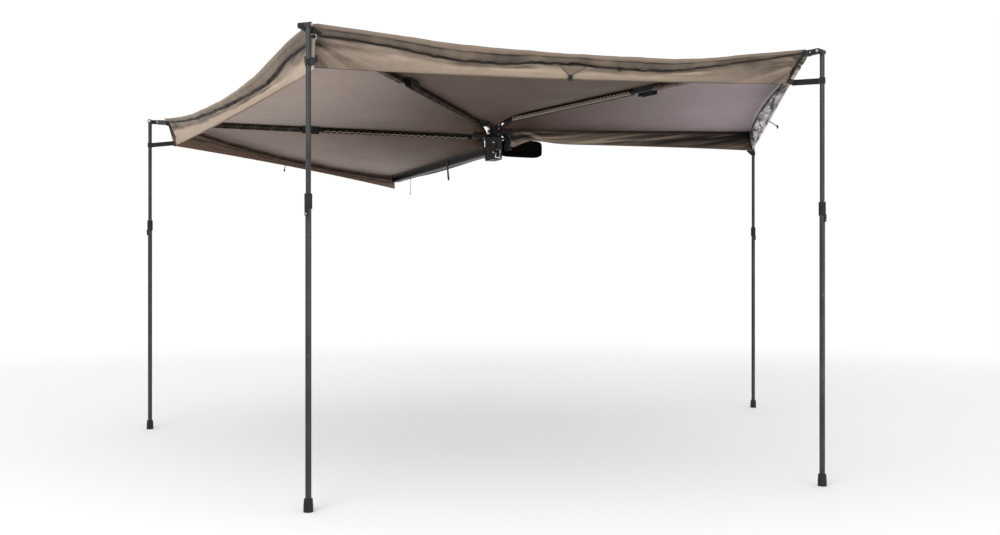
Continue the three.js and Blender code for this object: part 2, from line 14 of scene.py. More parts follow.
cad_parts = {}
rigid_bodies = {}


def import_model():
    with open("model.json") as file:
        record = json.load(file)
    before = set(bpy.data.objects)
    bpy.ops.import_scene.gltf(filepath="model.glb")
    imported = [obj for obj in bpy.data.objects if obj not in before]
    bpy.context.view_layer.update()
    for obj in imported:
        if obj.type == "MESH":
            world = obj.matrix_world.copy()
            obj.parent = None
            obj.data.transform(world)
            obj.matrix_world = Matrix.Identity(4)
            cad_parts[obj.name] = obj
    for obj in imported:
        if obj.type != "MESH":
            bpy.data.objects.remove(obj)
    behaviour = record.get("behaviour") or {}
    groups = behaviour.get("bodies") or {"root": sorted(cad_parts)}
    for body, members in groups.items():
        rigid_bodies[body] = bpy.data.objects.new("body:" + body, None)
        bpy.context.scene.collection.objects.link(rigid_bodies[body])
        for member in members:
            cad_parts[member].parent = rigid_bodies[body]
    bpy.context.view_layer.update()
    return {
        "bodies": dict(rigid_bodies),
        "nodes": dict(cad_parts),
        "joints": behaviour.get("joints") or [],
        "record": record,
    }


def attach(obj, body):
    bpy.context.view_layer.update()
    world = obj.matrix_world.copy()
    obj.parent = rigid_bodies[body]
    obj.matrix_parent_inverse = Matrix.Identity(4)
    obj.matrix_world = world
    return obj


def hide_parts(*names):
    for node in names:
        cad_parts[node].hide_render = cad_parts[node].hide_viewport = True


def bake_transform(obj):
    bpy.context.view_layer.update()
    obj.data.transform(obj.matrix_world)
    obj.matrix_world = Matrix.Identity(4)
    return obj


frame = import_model()
SCENE = bpy.context.scene

# %% [markdown]
# ## The camera
# The photograph was taken level, from behind the awning's open side and a little under one metre
# above the floor. A camera can be placed by eye, but here its place was solved from the poles'
# feet and tops, so that the pieces can be held against the photograph. The small shift puts the
# horizon where it stands in the picture.
# %% Camera
FLOOR = -1.6  # height 0 is the underside of the beam's brackets
EYE = (-5.330, 2.226, -0.693)
LOOKS_ALONG = (0.9198, -0.3923)
LENS_MM, SENSOR_MM, HORIZON_SHIFT = 35.32, 36.0, 0.004
FARTHEST = 200
lens = bpy.data.cameras.new("camera")
lens.lens, lens.sensor_width, lens.shift_y = LENS_MM, SENSOR_MM, HORIZON_SHIFT
lens.clip_end = FARTHEST
camera = bpy.data.objects.new("camera", lens)
camera.location = EYE
camera.rotation_euler = (math.pi / 2, 0, math.atan2(LOOKS_ALONG[1], LOOKS_ALONG[0]) - math.pi / 2)
SCENE.collection.objects.link(camera)
SCENE.camera = camera
SCENE.view_settings.view_transform = "Standard"
print("camera height over the floor:", round(EYE[2] - FLOOR, 3), "m")

# %% [markdown]
# ## Shader sums as plain Python
# A finish is a small sum of noises and masks. It could be wired node by node, but that hides the
# idea. So one class wraps a socket and overloads the operators: `1 - mask` adds its own Math node.
# %% A socket that can be added and multiplied
class Wire:
    def __init__(self, tree, socket):
        self.tree = tree
        self.socket = socket

    def sum(self, operation, *values):
        made = new_node(self.tree, "ShaderNodeMath", {"operation": operation})
        for place, value in zip(made.inputs, values):
            plug(self.tree, place, value)
        return Wire(self.tree, made.outputs[0])

    def __add__(self, other): return self.sum("ADD", self, other)
    def __radd__(self, other): return self.sum("ADD", other, self)
    def __sub__(self, other): return self.sum("SUBTRACT", self, other)
    def __rsub__(self, other): return self.sum("SUBTRACT", other, self)
    def __mul__(self, other): return self.sum("MULTIPLY", self, other)
    def __rmul__(self, other): return self.sum("MULTIPLY", other, self)
    def __pow__(self, other): return self.sum("POWER", self, other)
    def wave(self): return self.sum("SINE", self)

    def step(self, low, high):
        """0 below low, 1 above high, and a soft slope between them."""
        made = new_node(self.tree, "ShaderNodeMapRange",
                        {"interpolation_type": "SMOOTHSTEP", "clamp": True},
                        Value=self, From_Min=low, From_Max=high)
        return Wire(self.tree, made.outputs[0])


def plug(tree, place, value):
    """Link a wire to a socket, or write a plain value there."""
    if isinstance(value, Wire):
        tree.links.new(value.socket, place)
    else:
        place.default_value = value


def new_node(tree, kind, settings=None, **inputs):
    """Any node: its type, its settings, and the values or wires of its sockets."""
    made = tree.nodes.new(kind)
    for name, value in (settings or {}).items():
        setattr(made, name, value)
    for name, value in inputs.items():
        wanted = name.replace("_", " ")
        place = next(i for i in made.inputs if i.name == wanted and i.enabled)
        plug(tree, place, value)
    return made


# %% [markdown]
# A finish starts from one class, which holds the tree and the surface's own coordinates. Colours
# go through a Mix node, because a Math node would turn them grey.
# %% Start a finish
class Finish:
    """A material: a Principled surface, with Object coordinates as place and the UVs as flat."""

    def __init__(self, name, **sockets):
        self.material = bpy.data.materials.new(name)
        self.material.use_nodes = True
        self.tree = self.material.node_tree
        self.tree.nodes.clear()
        self.out = new_node(self.tree, "ShaderNodeOutputMaterial")
        self.surface = new_node(self.tree, "ShaderNodeBsdfPrincipled", **sockets)
        self.tree.links.new(self.surface.outputs[0], self.out.inputs[0])
        coordinates = new_node(self.tree, "ShaderNodeTexCoord").outputs
        self.place = Wire(self.tree, coordinates["Object"])
        self.flat = Wire(self.tree, coordinates["UV"])

    def attribute(self, name):
        made = new_node(self.tree, "ShaderNodeAttribute", {"attribute_name": name})
        return Wire(self.tree, made.outputs["Fac"])

    def clamp(self, value):
        made = new_node(self.tree, "ShaderNodeClamp", Value=value)
        return Wire(self.tree, made.outputs[0])

    def noise(self, scale, detail, rough=0.5, stretch=None):
        where = self.place
        if stretch:
            where = Wire(self.tree, new_node(self.tree, "ShaderNodeMapping", Vector=where,
                                             Scale=stretch).outputs[0])
        made = new_node(self.tree, "ShaderNodeTexNoise", Vector=where, Scale=scale,
                        Detail=detail, Roughness=rough)
        return Wire(self.tree, made.outputs[0])

    def split(self, where):
        made = new_node(self.tree, "ShaderNodeSeparateXYZ", Vector=where)
        return [Wire(self.tree, o) for o in made.outputs]

    def mix(self, mask, low, high):
        """A colour between two others. The Mix node has its colour sockets at 6 and 7."""
        made = new_node(self.tree, "ShaderNodeMix", {"data_type": "RGBA"})
        for place, value in ((0, mask), (6, low), (7, high)):
            plug(self.tree, made.inputs[place], value)
        return Wire(self.tree, made.outputs[2])

    def set(self, **inputs):
        for name, value in inputs.items():
            plug(self.tree, self.surface.inputs[name.replace("_", " ")], value)
        return self

    def bump(self, height, distance=1.0, strength=1.0):
        made = new_node(self.tree, "ShaderNodeBump", Height=height, Distance=distance,
                        Strength=strength)
        self.tree.links.new(made.outputs[0], self.surface.inputs["Normal"])
        return self


# %% Colours as they show on screen
def tint(red, green, blue):
    """A colour given as it shows on screen, from 0 to 255."""
    def linear(c):
        c = c / 255
        return c / 12.92 if c <= 0.04045 else ((c + 0.055) / 1.055) ** 2.4
    return (linear(red), linear(green), linear(blue), 1.0)


# %% [markdown]
# ## Floor, sky and lamps
# A plain pale floor keeps the awning's shadow. With distance it fades to white for the eye, so that
# no horizon shows: a light path tells rays that look from rays that light. The sky is white to the
# eye and dimmer to the object. One wide lamp high on the left gives the cloth its soft shading, and
# a weak one near the floor lifts its underside, as pale ground does.
# %% Floor
FLOOR_SIDE, FADES_FROM, FADES_TO = 80, 3.0, 7.746  # the fade, as distances from the middle
MIDDLE_OF_PART = 0.4  # how far the fade's middle lies from the origin, along x


def looked_at(tree):
    """1 for rays from the eye, straight or by way of metal or glass, and 0 for light."""
    rays = new_node(tree, "ShaderNodeLightPath").outputs
    eye, glossy, through_glass = (Wire(tree, rays[f"Is {kind} Ray"])
                                  for kind in ("Camera", "Glossy", "Transmission"))
    return (eye + glossy + through_glass).step(0.0, 1.0)


bpy.ops.object.select_all(action="DESELECT")
bpy.ops.mesh.primitive_plane_add(size=FLOOR_SIDE, location=(0, 0, FLOOR))
floor = bpy.context.object
floor.name = "floor"
bpy.ops.object.transform_apply(location=True, rotation=True, scale=True)
pale = Finish("studio_floor", Roughness=0.9, Base_Color=tint(249, 249, 249))
across, deep, _ = pale.split(pale.place)
distance = (across + MIDDLE_OF_PART) ** 2 + deep ** 2
glow = new_node(pale.tree, "ShaderNodeEmission", Strength=1.0)
faded = new_node(pale.tree, "ShaderNodeMixShader")
plug(pale.tree, faded.inputs[0],
     distance.step(FADES_FROM ** 2, FADES_TO ** 2) * looked_at(pale.tree))
for socket, place in ((pale.surface.outputs[0], faded.inputs[1]),
                      (glow.outputs[0], faded.inputs[2]), (faded.outputs[0], pale.out.inputs[0])):
    pale.tree.links.new(socket, place)
floor.data.materials.append(pale.material)
print(f"floor: {FLOOR_SIDE} m wide, white from {FADES_TO:.1f} m on")

# %% Sky and lamps
SKY_LEVEL = 0.88  # of white, for the light that falls on the object
sky = bpy.data.worlds.new("sky")
sky.use_nodes = True
SCENE.world = sky
sky_light = sky.node_tree.nodes["Background"].inputs
sky_light["Color"].default_value = (1, 1, 1, 1)
plug(sky.node_tree, sky_light["Strength"], looked_at(sky.node_tree) * (1 - SKY_LEVEL) + SKY_LEVEL)


def lamp(name, place, aim, size, watts):
    data = bpy.data.lights.new(name, "AREA")
    data.size, data.energy = size, watts
    made = bpy.data.objects.new(name, data)
    made.location = place
    made.rotation_euler = (Vector(aim) - Vector(place)).to_track_quat("-Z", "Y").to_euler()
    SCENE.collection.objects.link(made)
    print(f"lamp {name}: {watts} W")


lamp("key", (-6.0, 5.5, 3.6), (-0.6, 0.2, 0.1), 4.0, 270)
lamp("fill_low", (-7.0, -1.0, -0.9), (-0.5, 0.0, 0.1), 3.0, 80)

# %% [markdown]
# ## Finishes
# Powder coat and moulded plastic are both near black with a fine grain, and differ in how fine it
# is and how they wear. Anodised tube is drawn lengthwise, and zinc plate has small spangles. Each
# could be one flat colour, but nothing real is, so a slow noise moves the colour and the gloss a
# little.
# %% Metals and plastic
BLACK, WORN_BLACK = tint(17, 17, 17), tint(32, 31, 31)


def grained(name, grain, height, wear_scale, worn_from, rough, rougher):
    """A near black surface. grain: the scale and the detail of its noise. height: of the grain."""
    f = Finish(name, Specular_IOR_Level=0.3)
    wear = f.noise(wear_scale, 4)
    f.set(Base_Color=f.mix(wear.step(worn_from, worn_from + 0.4), BLACK, WORN_BLACK),
          Roughness=rough + wear * rougher)
    return f.bump(f.noise(*grain), height, 0.5).material


def drawn_tube():
    f = Finish("grey_anodised_tube", Metallic=0.65)
    draw = f.noise(160, 2, stretch=(1, 1, 0.02))
    marks = f.noise(7, 4)
    scuff = f.noise(46, 3).step(0.64, 0.72)
    body = f.mix(marks.step(0.3, 0.8), tint(48, 48, 49), tint(66, 66, 67))
    f.set(Base_Color=f.mix(scuff * 0.5, body, tint(92, 92, 93)),
          Roughness=0.28 + draw * 0.18 + marks * 0.06)
    return f.bump(draw, 0.0002, 0.35).material


def zinc():
    f = Finish("zinc_plate", Metallic=1.0)
    spangle = f.noise(240, 3)
    f.set(Base_Color=f.mix(spangle, tint(150, 151, 153), tint(196, 197, 198)),
          Roughness=0.2 + spangle * 0.18)
    return f.bump(spangle, 0.0001, 0.3).material


# %% [markdown]
# The cloth is a coated weave, brown outside and silvery beneath, with a square rip-stop thread. The
# threads and the rip-stop come from sines of the UVs, which are in metres, so they follow the
# cloth. Its large painted shades and highlights, in gathers, creases and along edges, are too
# particular for a noise. So the mesh carries them in a `tone` attribute, which is worked out from
# the folds when the cloth is made.
# %% Cloths and webbing
FULL_TURN = 2 * math.pi
THREAD, RIPSTOP = 0.0009, 0.0063  # pitch of the threads, and of the thicker ones
RIB_ALONG, RIB_ACROSS = 0.0022, 0.0016  # pitch of the ribs of webbing and cord


def woven(name, dark, light, rough, crinkle, sheen=0.0, gleam=0.0, shine=0.15, tone=None):
    """A coated weave. The tone, from 0 to 1, goes from the dark to the light colour, and carries
    the painted light and shade of the folds.
    """
    f = Finish(name, Metallic=gleam, Sheen_Weight=sheen, Sheen_Roughness=0.5,
               Specular_IOR_Level=shine)
    u, v, _ = f.split(f.flat)
    threads = (u * (FULL_TURN / THREAD)).wave() * (v * (FULL_TURN / THREAD)).wave()
    stripes = [(way * (FULL_TURN / RIPSTOP)).wave().step(0.93, 1.0) for way in (u, v)]
    ribs = stripes[0] + stripes[1]
    cloud = f.noise(3.2, 5, 0.6)
    crease = f.noise(34, 5, 0.62)
    shade = ((f.attribute("tone") if tone is None else tone)
             + (cloud - 0.5) * 0.2 + (crease - 0.5) * 0.12 - ribs * 0.03)
    f.set(Base_Color=f.mix(f.clamp(shade) ** 1.5, dark, light), Roughness=rough + crease * 0.16)
    return f.bump(crease * crinkle + threads * 0.00008 + ribs * 0.00006).material


def strap_weave(name, dark, light):
    f = Finish(name, Roughness=0.8, Sheen_Weight=0.2, Specular_IOR_Level=0.2)
    u, v, _ = f.split(f.flat)
    ribs = (u * (FULL_TURN / RIB_ALONG)).wave() * 0.5 + (v * (FULL_TURN / RIB_ACROSS)).wave() * 0.5
    fade = f.noise(14, 3)
    f.set(Base_Color=f.mix(f.clamp(fade * 0.6 + ribs * 0.25 + 0.15), dark, light))
    return f.bump(ribs * 0.0003).material


# %% All the finishes
COATED = {"sheen": 0.1, "shine": 0.35}  # the brown side of the cloth has a soft gloss
FINISHES = {
    "black_metal": grained("black_powder_coat", (900, 3), 0.0002, 9, 0.35, 0.36, 0.2),
    "black_plastic": grained("black_moulded_plastic", (1400, 2), 0.00015, 22, 0.4, 0.42, 0.22),
    "grey_tube": drawn_tube(),
    "steel": zinc(),
    "brown_cloth": woven("brown_outer_cloth", tint(28, 17, 8), tint(186, 166, 146), 0.62, 0.003,
                         **COATED),
    "roof_cloth": woven("brown_roof_cloth", tint(58, 46, 38), tint(184, 169, 155), 0.62, 0.0016,
                        tone=0.62, **COATED),
    # the inner face of the valances: the silvery coat in shadow, given as a darker brown copy, which
    # is painted shade
    "lining_in_painted_shade": woven("inner_cloth_in_painted_shade", tint(42, 25, 13), tint(142, 118, 99), 0.6, 0.003,
                          **COATED),
    "silver_cloth": woven("silver_coated_cloth", tint(60, 40, 28), tint(190, 174, 165), 0.55,
                          0.0014),
    # the lining of the fourth sector: a darker, mauve-tinted copy of the silver cloth, which is
    # painted shade
    "silver_cloth_in_painted_shade": woven("silver_coated_cloth_shaded", tint(66, 49, 40), tint(174, 158, 162), 0.55,
                         0.0012),
    # the inner face of the fourth valance: the same coat lit from behind, given as a near white copy
    # with a gleam, which is painted light
    "lining_in_painted_light": woven("crumpled_silver_cloth", tint(26, 21, 19), tint(250, 249, 248), 0.3, 0.02,
                        gleam=0.15, shine=0.5),
    "sleeve_cloth": woven("brown_sleeve_cloth", tint(24, 17, 12), tint(160, 144, 130), 0.75, 0.003,
                          shine=0.1),
    "bag_cloth": woven("black_bag_cloth", tint(5, 5, 5), tint(20, 19, 18), 0.85, 0.004, shine=0.0),
    "webbing": strap_weave("black_webbing", tint(16, 16, 16), tint(40, 39, 38)),
    "pale_webbing": strap_weave("pale_webbing", tint(120, 112, 100), tint(176, 168, 156)),
    "lace_cord": strap_weave("lace_cord", tint(138, 124, 112), tint(206, 192, 178)),
    "edge_cord": strap_weave("edge_cord", tint(104, 88, 74), tint(156, 138, 122)),
    "dark_cord": strap_weave("dark_cord", tint(52, 48, 44), tint(108, 102, 96)),
}
print("finishes:", ", ".join(FINISHES))

# %% [markdown]
# The rigid pieces keep their CAD shapes, and each takes the finish of its own material slot. Cast
# and moulded edges are never quite sharp and catch a thin light, so those pieces get a small bevel.
# It stays a live modifier, because a CAD node's own mesh is left alone.
# %% Dress the CAD nodes
CAST = ("hub_base", "hub_top_plate", "rear_bracket", "front_bracket")
EASED_EDGE, EASED_CLIP_EDGE = 0.0011, 0.0006
for row in frame["record"]["subparts"]:
    name = row["node"]
    node = frame["nodes"][name]
    node.data.materials.clear()
    node.data.materials.append(FINISHES[row["material_slot"]])
    if name in CAST or name.endswith(("_knuckle", "_clip", "_foot")):
        bevel = node.modifiers.new("eased_edges", "BEVEL")
        bevel.width = EASED_CLIP_EDGE if name.endswith("_clip") else EASED_EDGE
        bevel.segments, bevel.limit_method = 2, "ANGLE"

# %% [markdown]
# ## Where the arms lie
# Everything soft hangs from the arms, so the cloth needs the same lines as the metal. They could be
# measured on the nodes, but five rows of numbers are easier to follow. Line 0 is the beam and lines
# 1 to 4 are the arms. Each has a turn, a step aside, a height at the hub and a height at its end.
# %% Points over an arm
HUB = np.array((-0.2, 0.0753, 0.0))
REACH = 1.986  # from the hub's axis to a pole's hinge
ARMS = (1, 2, 3, 4)
TURNS = np.radians((0.0, 66.4, 137.0, 200.4, 273.6))
ASIDE = (0.0, -0.105, -0.045, 0.015, 0.075)
LEVEL = (0.006, 0.075, 0.1284, 0.1551, 0.1017)
TIP = (0.006, 0.173, 0.238, 0.236, 0.220)
SLOPE = [math.asin((tip - level) / REACH) for tip, level in zip(TIP, LEVEL)]
POLE_SIDE = 0.03  # a pole hangs this far to the left of its arm
LIFT = 0.0162  # the cloth's outer face over the arm's centre


def over(line, along, left, up):
    """Points over an arm: so far along it, to its left and above its centre."""
    along, left, up = np.broadcast_arrays(*(np.asarray(v, float) for v in (along, left, up)))
    x = along * math.cos(SLOPE[line]) - up * math.sin(SLOPE[line])
    y = ASIDE[line] + left
    z = LEVEL[line] + along * math.sin(SLOPE[line]) + up * math.cos(SLOPE[line])
    c, s = math.cos(TURNS[line]), math.sin(TURNS[line])
    return HUB + np.stack((x * c - y * s, x * s + y * c, z), -1)


# %% Smooth curves and waves
def through(*points):
    """A smooth curve through these (x, y) points."""
    xs, ys = np.array(points, float).T
    slopes = np.gradient(ys, xs)

    def at(x):
        x = np.clip(x, xs[0], xs[-1])
        i = np.clip(np.searchsorted(xs, x, side="right") - 1, 0, len(xs) - 2)
        h = xs[i + 1] - xs[i]
        t = (x - xs[i]) / h
        return ((2 * t**3 - 3 * t**2 + 1) * ys[i] + (t**3 - 2 * t**2 + t) * h * slopes[i]
                + (3 * t**2 - 2 * t**3) * ys[i + 1] + (t**3 - t**2) * h * slopes[i + 1])
    return at


def even(*heights):
    """A smooth curve through heights at even steps from 0 to 1."""
    return through(*zip(np.linspace(0, 1, len(heights)), heights))


def ramp(x, low, high):
    """0 below low, 1 above high, and a soft slope between them."""
    t = np.clip((np.asarray(x, float) - low) / (high - low), 0, 1)
    return t * t * (3 - 2 * t)


def ruffle(x, y=0.0, seed=0.0):
    """A sum of waves that never repeats, about 1 high either way, for folds in cloth."""
    return (np.sin(x * 1.0 + seed) + 0.6 * np.sin(x * 2.13 + 1.7 * y + 2.1 * seed)
            + 0.35 * np.sin(x * 4.41 - 1.1 * y + 0.7 * seed)
            + 0.2 * np.sin(x * 8.3 + 2.3 * y + 3.9 * seed)) / 1.6


print("the arms rise by", [round(math.degrees(SLOPE[n]), 1) for n in ARMS], "degrees")

# %% [markdown]
# ## Cloth from a grid
# Cloth can be draped by a simulation, but this canopy is pulled tight between arms of known places,
# so its folds are drawn with curves instead. A sheet is a grid of points, and one helper turns
# grids into a mesh with UVs in metres, so that the weave has the same scale everywhere.
#
# A sector of the canopy has to fold with two arms, and the bend must go evenly with the angle.
# %% Flat pattern, modifiers and UVs
def flat_place(share):
    """Where on the flat pattern a point lies, so that its blend is the share it should have."""
    return 0.5 - np.sin(np.arcsin(1 - 2 * np.clip(share, 0, 1)) / 3)


def shape_with(piece, kind, **settings):
    """Add a modifier to a piece and apply it."""
    bpy.ops.object.select_all(action="DESELECT")
    piece.select_set(True)
    bpy.context.view_layer.objects.active = piece
    made = piece.modifiers.new(kind.lower(), kind)
    for name, value in settings.items():
        setattr(made, name, value)
    bpy.ops.object.modifier_apply(modifier=made.name)


def write_uv(mesh, uvs):
    """Give each corner of each face the UV of its vertex."""
    corner = np.zeros(len(mesh.loops), int)
    mesh.loops.foreach_get("vertex_index", corner)
    mesh.uv_layers.new(name="UVMap").data.foreach_set("uv", uvs[corner].ravel())


# %% Grids into one mesh
def laid_uv(points):
    """UVs in metres: along the mean row, and down each column."""
    along, down = np.zeros(points.shape[:2]), np.zeros(points.shape[:2])
    along[:, 1:] = np.cumsum(np.linalg.norm(np.diff(points, axis=1), axis=2).mean(0))[None]
    down[1:] = np.cumsum(np.linalg.norm(np.diff(points, axis=0), axis=2), axis=0)
    return np.stack((along.ravel(), down.ravel()), -1)


def joined(grids):
    """All the grids as one list each of points, tones, shares, UVs, four-sided faces and kinds."""
    columns = [[] for _ in range(6)]
    start = 0
    for grid in grids:
        points = grid["points"]
        size = points.shape[:2]
        index = start + np.arange(size[0] * size[1]).reshape(size)
        quads = np.stack((index[:-1, :-1], index[1:, :-1], index[1:, 1:], index[:-1, 1:]), -1)
        kind = np.broadcast_to(grid.get("kind", 0), quads.shape[:2]).astype(int)
        keep = ~np.broadcast_to(grid.get("hole", False), kind.shape)
        for column, values in zip(columns, (
                points.reshape(-1, 3), np.broadcast_to(grid["tone"], size).ravel(),
                np.broadcast_to(grid.get("share", 0.0), size).ravel(), laid_uv(points),
                quads[keep], kind[keep])):
            column.append(values)
        start += index.size
    points, tones, shares, uvs, faces, kinds = map(np.concatenate, columns)
    used, faces = np.unique(faces, return_inverse=True)
    return points[used], tones[used], shares[used], uvs[used], faces.reshape(-1, 4), kinds


# %% A piece of cloth
def cloth_from(name, grids, thickness, finishes, bodies):
    """grids: dicts with points (rows, columns, 3), tone, share, hole and kind, which is the finish
    of each face. finishes: that of each kind outside, and then of each kind inside."""
    points, tones, shares, uvs, faces, kinds = joined(grids)
    flat = np.stack((flat_place(shares), uvs[:, 1], np.zeros(len(points))), -1)
    mesh = bpy.data.meshes.new(name)
    mesh.from_pydata((flat if len(bodies) == 2 else points).tolist(), [], faces.tolist())
    piece = bpy.data.objects.new(name, mesh)
    SCENE.collection.objects.link(piece)
    if len(bodies) == 2:
        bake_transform(piece)
        mesh.vertices.foreach_set("co", points.ravel())
    mesh.attributes.new("tone", "FLOAT", "POINT").data.foreach_set(
        "value", np.clip(tones, 0, 1).astype(np.float32))
    write_uv(mesh, uvs)
    count = len(finishes) // 2
    for finish in [f for pair in zip(finishes[:count], finishes[count:]) for f in pair]:
        mesh.materials.append(FINISHES[finish])
    mesh.polygons.foreach_set("material_index", (2 * kinds).astype(np.int32))
    mesh.polygons.foreach_set("use_smooth", np.ones(len(mesh.polygons), bool))
    mesh.update()
    if thickness:
        shape_with(piece, "SOLIDIFY", thickness=thickness, offset=-1, material_offset=1,
                   material_offset_rim=0)
    if len(bodies) == 1:
        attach(piece, bodies[0])
    print(f"{name}: {len(piece.data.polygons)} faces")
    return piece


# %% Areas of cloth
def cloth_area(points):
    """The area of a grid, in square metres."""
    across = points[:-1, 1:] - points[:-1, :-1]
    down = points[1:, :-1] - points[:-1, :-1]
    return float(np.linalg.norm(np.cross(across, down), axis=2).sum())


def within(area, flat):
    return min(area, 0.99 * flat[0] * flat[1])


# %% [markdown]
# ## The canopy
# Each sector is one sheet: a roof that sags between two arms, a lip over its outer edge, and a
# valance that hangs from the lip to a hem pulled straight between the two corners. The upper part
# of the valance is doubled over the lower one, which gives a crease below the lip, darkened with
# painted shade. All four follow one pattern, so the pattern is written once and each sector has its
# own row of curves, which run from 0 at the arm before it to 1 at its own arm.
# %% Strips and corners of the sectors
BEAM_HEM = 1.916  # how far along the beam the first valance hangs
INNER = (0.09, 0.068, 0.045, 0.05, 0.05)  # where the cloth starts over the beam and each arm
BODIES = ("hub", "arm_1", "arm_2", "arm_3", "arm_4")
# half widths of the flat strips: over the arm before, over a sector's own arm, and over the beam
FLAT_BEFORE, FLAT_AFTER, FLAT_BEAM = 0.047, 0.0135, 0.030
START_LEFT = 0.008  # where a valance starts beside the arm before it
STRIP = 5  # columns in each flat strip
MIDDLE = 160  # columns between the strips
ROOF_ROWS, BULGE_ROWS = 36, 20

# foot: the hem's corner at each end, as its set-back from the hinge and its height.
# ends: how far along each arm the edge reaches. bow: how far the edge curves in between them.
CORNERS = {
    1: {"foot": ((None, -0.0757), (0.126, 0.036)), "ends": (BEAM_HEM, 1.905), "bow": 0.0},
    2: {"foot": ((0.141, 0.038), (0.126, 0.100)), "ends": (1.905, 1.93), "bow": 0.0},
    3: {"foot": ((0.080, 0.094), (0.142, 0.115)), "ends": (1.943, 1.93), "bow": 0.0},
    4: {"foot": ((0.142, 0.110), (0.044, 0.107)), "ends": (1.93, 1.915), "bow": 0.06},
}

# %% Curves and tones of the sectors
# sag: of the roof's edge. crease: its depth below the edge. droop and pinch: how far the roof's
# inner edge hangs and draws in at the hub. line: how much painted shade darkens the creases in the
# band. under: the lining's painted shade at the hub and at the edge, because little light gets in
# under the middle. lip, mid, low: painted light and shade of the valance from its edge down, at its
# corners and halfway between them, where it bellies out into the light. turn: the share of its
# height at which mid becomes low.
SECTORS = {
    1: {"sag": even(0, 0.034, 0.046, 0.036, 0), "crease": even(0.03, 0.026, 0.026),
        "hem_sag": -0.013, "droop": 0.012, "pinch": 0.012, "line": 0.1, "under": (0.1, 0.6),
        "lip": (0.4, 0.4), "mid": (0.5, 0.5), "low": (0.8, 0.8), "turn": 0.5},
    2: {"sag": through((0, 0), (0.2, 0.058), (0.37, 0.083), (0.5, 0.090), (0.6, 0.0885),
                       (0.72, 0.072), (0.84, 0.036), (0.93, 0.010), (1, 0)),
        "crease": through((0, 0.018), (0.3, 0.022), (0.55, 0.028), (0.7, 0.042), (0.81, 0.058),
                          (0.89, 0.052), (1, 0.058)),
        "hem_sag": 0.012, "droop": 0.034, "pinch": 0.03, "square": 1.05, "line": 0.2,
        "under": (0.1, 0.8), "lip": (0.4, 0.6), "mid": (0.5, 0.6), "low": (0.9, 1.0),
        "turn": 0.4},
    3: {"sag": through((0, 0), (0.15, 0.029), (0.3, 0.055), (0.48, 0.066), (0.63, 0.069),
                       (0.77, 0.060), (0.9, 0.026), (1, 0)),
        "crease": through((0, 0.040), (0.12, 0.040), (0.26, 0.054), (0.36, 0.052), (0.48, 0.034),
                          (0.59, 0.040), (0.7, 0.042), (0.8, 0.032), (0.9, 0.024), (1, 0.012)),
        "hem_sag": 0.012, "droop": 0.036, "pinch": 0.03, "line": 0.5, "pleat": 1.8,
        "under": (0.2, 0.2), "lip": (0.4, 0.5), "mid": (0.3, 0.5), "low": (0.4, 0.8),
        "turn": 0.3},
    4: {"sag": even(0, 0.012, 0.016, 0.012, 0), "crease": even(0.03, 0.03, 0.03),
        "hem_sag": 0.0, "droop": 0.04, "pinch": 0.03, "line": 0.3, "crumple": 3.0,
        "square": 1.05, "lace": 0.3, "under": (0.1, 0.8), "lip": (0.4, 0.4), "mid": (0.6, 0.6),
        "low": (0.9, 0.9), "turn": 0.3},
}
print("the sectors turn by", np.degrees(np.diff(TURNS)).round(1), "degrees")


# %% The roof of a sector
ROWS_OUT = np.linspace(0, 1, ROOF_ROWS) ** 0.9  # how far out each row of points lies
SEAM = 0.001  # how far beside an arm's line the sectors meet
SLACK = 0.0018  # height of the small folds


def roof(number):
    """Rows of points from the hub to the edge, and how far across each column is."""
    look, a, b = SECTORS[number], number - 1, number
    (end_a, end_b), bow = CORNERS[number]["ends"], CORNERS[number]["bow"]
    flat_before = FLAT_BEAM if a == 0 else FLAT_BEFORE
    inside = np.concatenate((np.zeros(STRIP), np.linspace(0, 1, MIDDLE + 1), np.ones(STRIP)))
    arch = 4 * inside * (1 - inside)
    rows = []
    for w in ROWS_OUT:
        reach_a = INNER[a] + (end_a - INNER[a]) * w
        reach_b = INNER[b] + (end_b - INNER[b]) * w
        width = np.linalg.norm(over(b, reach_b, 0, LIFT) - over(a, reach_a, 0, LIFT))
        before, after = min(flat_before, 0.3 * width), min(FLAT_AFTER, 0.12 * width)
        start, end = over(a, reach_a, before, LIFT), over(b, reach_b, -after, LIFT)
        row = start * (1 - inside[:, None]) + end * inside[:, None]
        row[:STRIP + 1] = over(a, reach_a, np.linspace(SEAM, before, STRIP + 1), LIFT)
        row[-STRIP - 1:] = over(b, reach_b, -np.linspace(after, SEAM, STRIP + 1), LIFT)
        pull = SLACK * ruffle(inside * 26 + w * 5, w * 9, number) * ramp(w, 0.4, 1)
        row[:, 2] -= look["sag"](inside) * w + pull * arch**0.5
        row[:, 2] -= look["droop"] * arch**0.7 * (1 - ramp(reach_b, INNER[b], 0.26))
        inward = HUB[:2] - row[:, :2]
        inward /= np.linalg.norm(inward, axis=1)[:, None]
        near = look["pinch"] * (1 - ramp(reach_b, INNER[b], 0.3)) + bow * w**3
        row[:, :2] += inward * (near * arch)[:, None]
        rows.append(row)
    return np.array(rows), inside


# %% [markdown]
# A valance is pulled at its two corners and slack in between. So short pleats fan out from each
# corner, and long folds run with the hem. Both are sums of a few waves: a sculpted fold would look
# as good, but waves are quick to change. Crumpled cloth has the same waves, only smaller and more.
# %% Hem and folds of a valance
def walked(path):
    """How far along a line each of its points is."""
    return np.concatenate(((0,), np.cumsum(np.linalg.norm(np.diff(path, axis=0), axis=1))))


def hem_corners(number):
    """The two corners of a valance's hem."""
    (back_a, z_a), (back_b, z_b) = CORNERS[number]["foot"]
    foot_a = (over(0, BEAM_HEM, 0, 0) if number == 1
              else over(number - 1, REACH - back_a, START_LEFT, 0))
    foot_b = over(number, REACH - back_b, -FLAT_AFTER, 0)
    foot_a[2], foot_b[2] = z_a, z_b
    return foot_a, foot_b


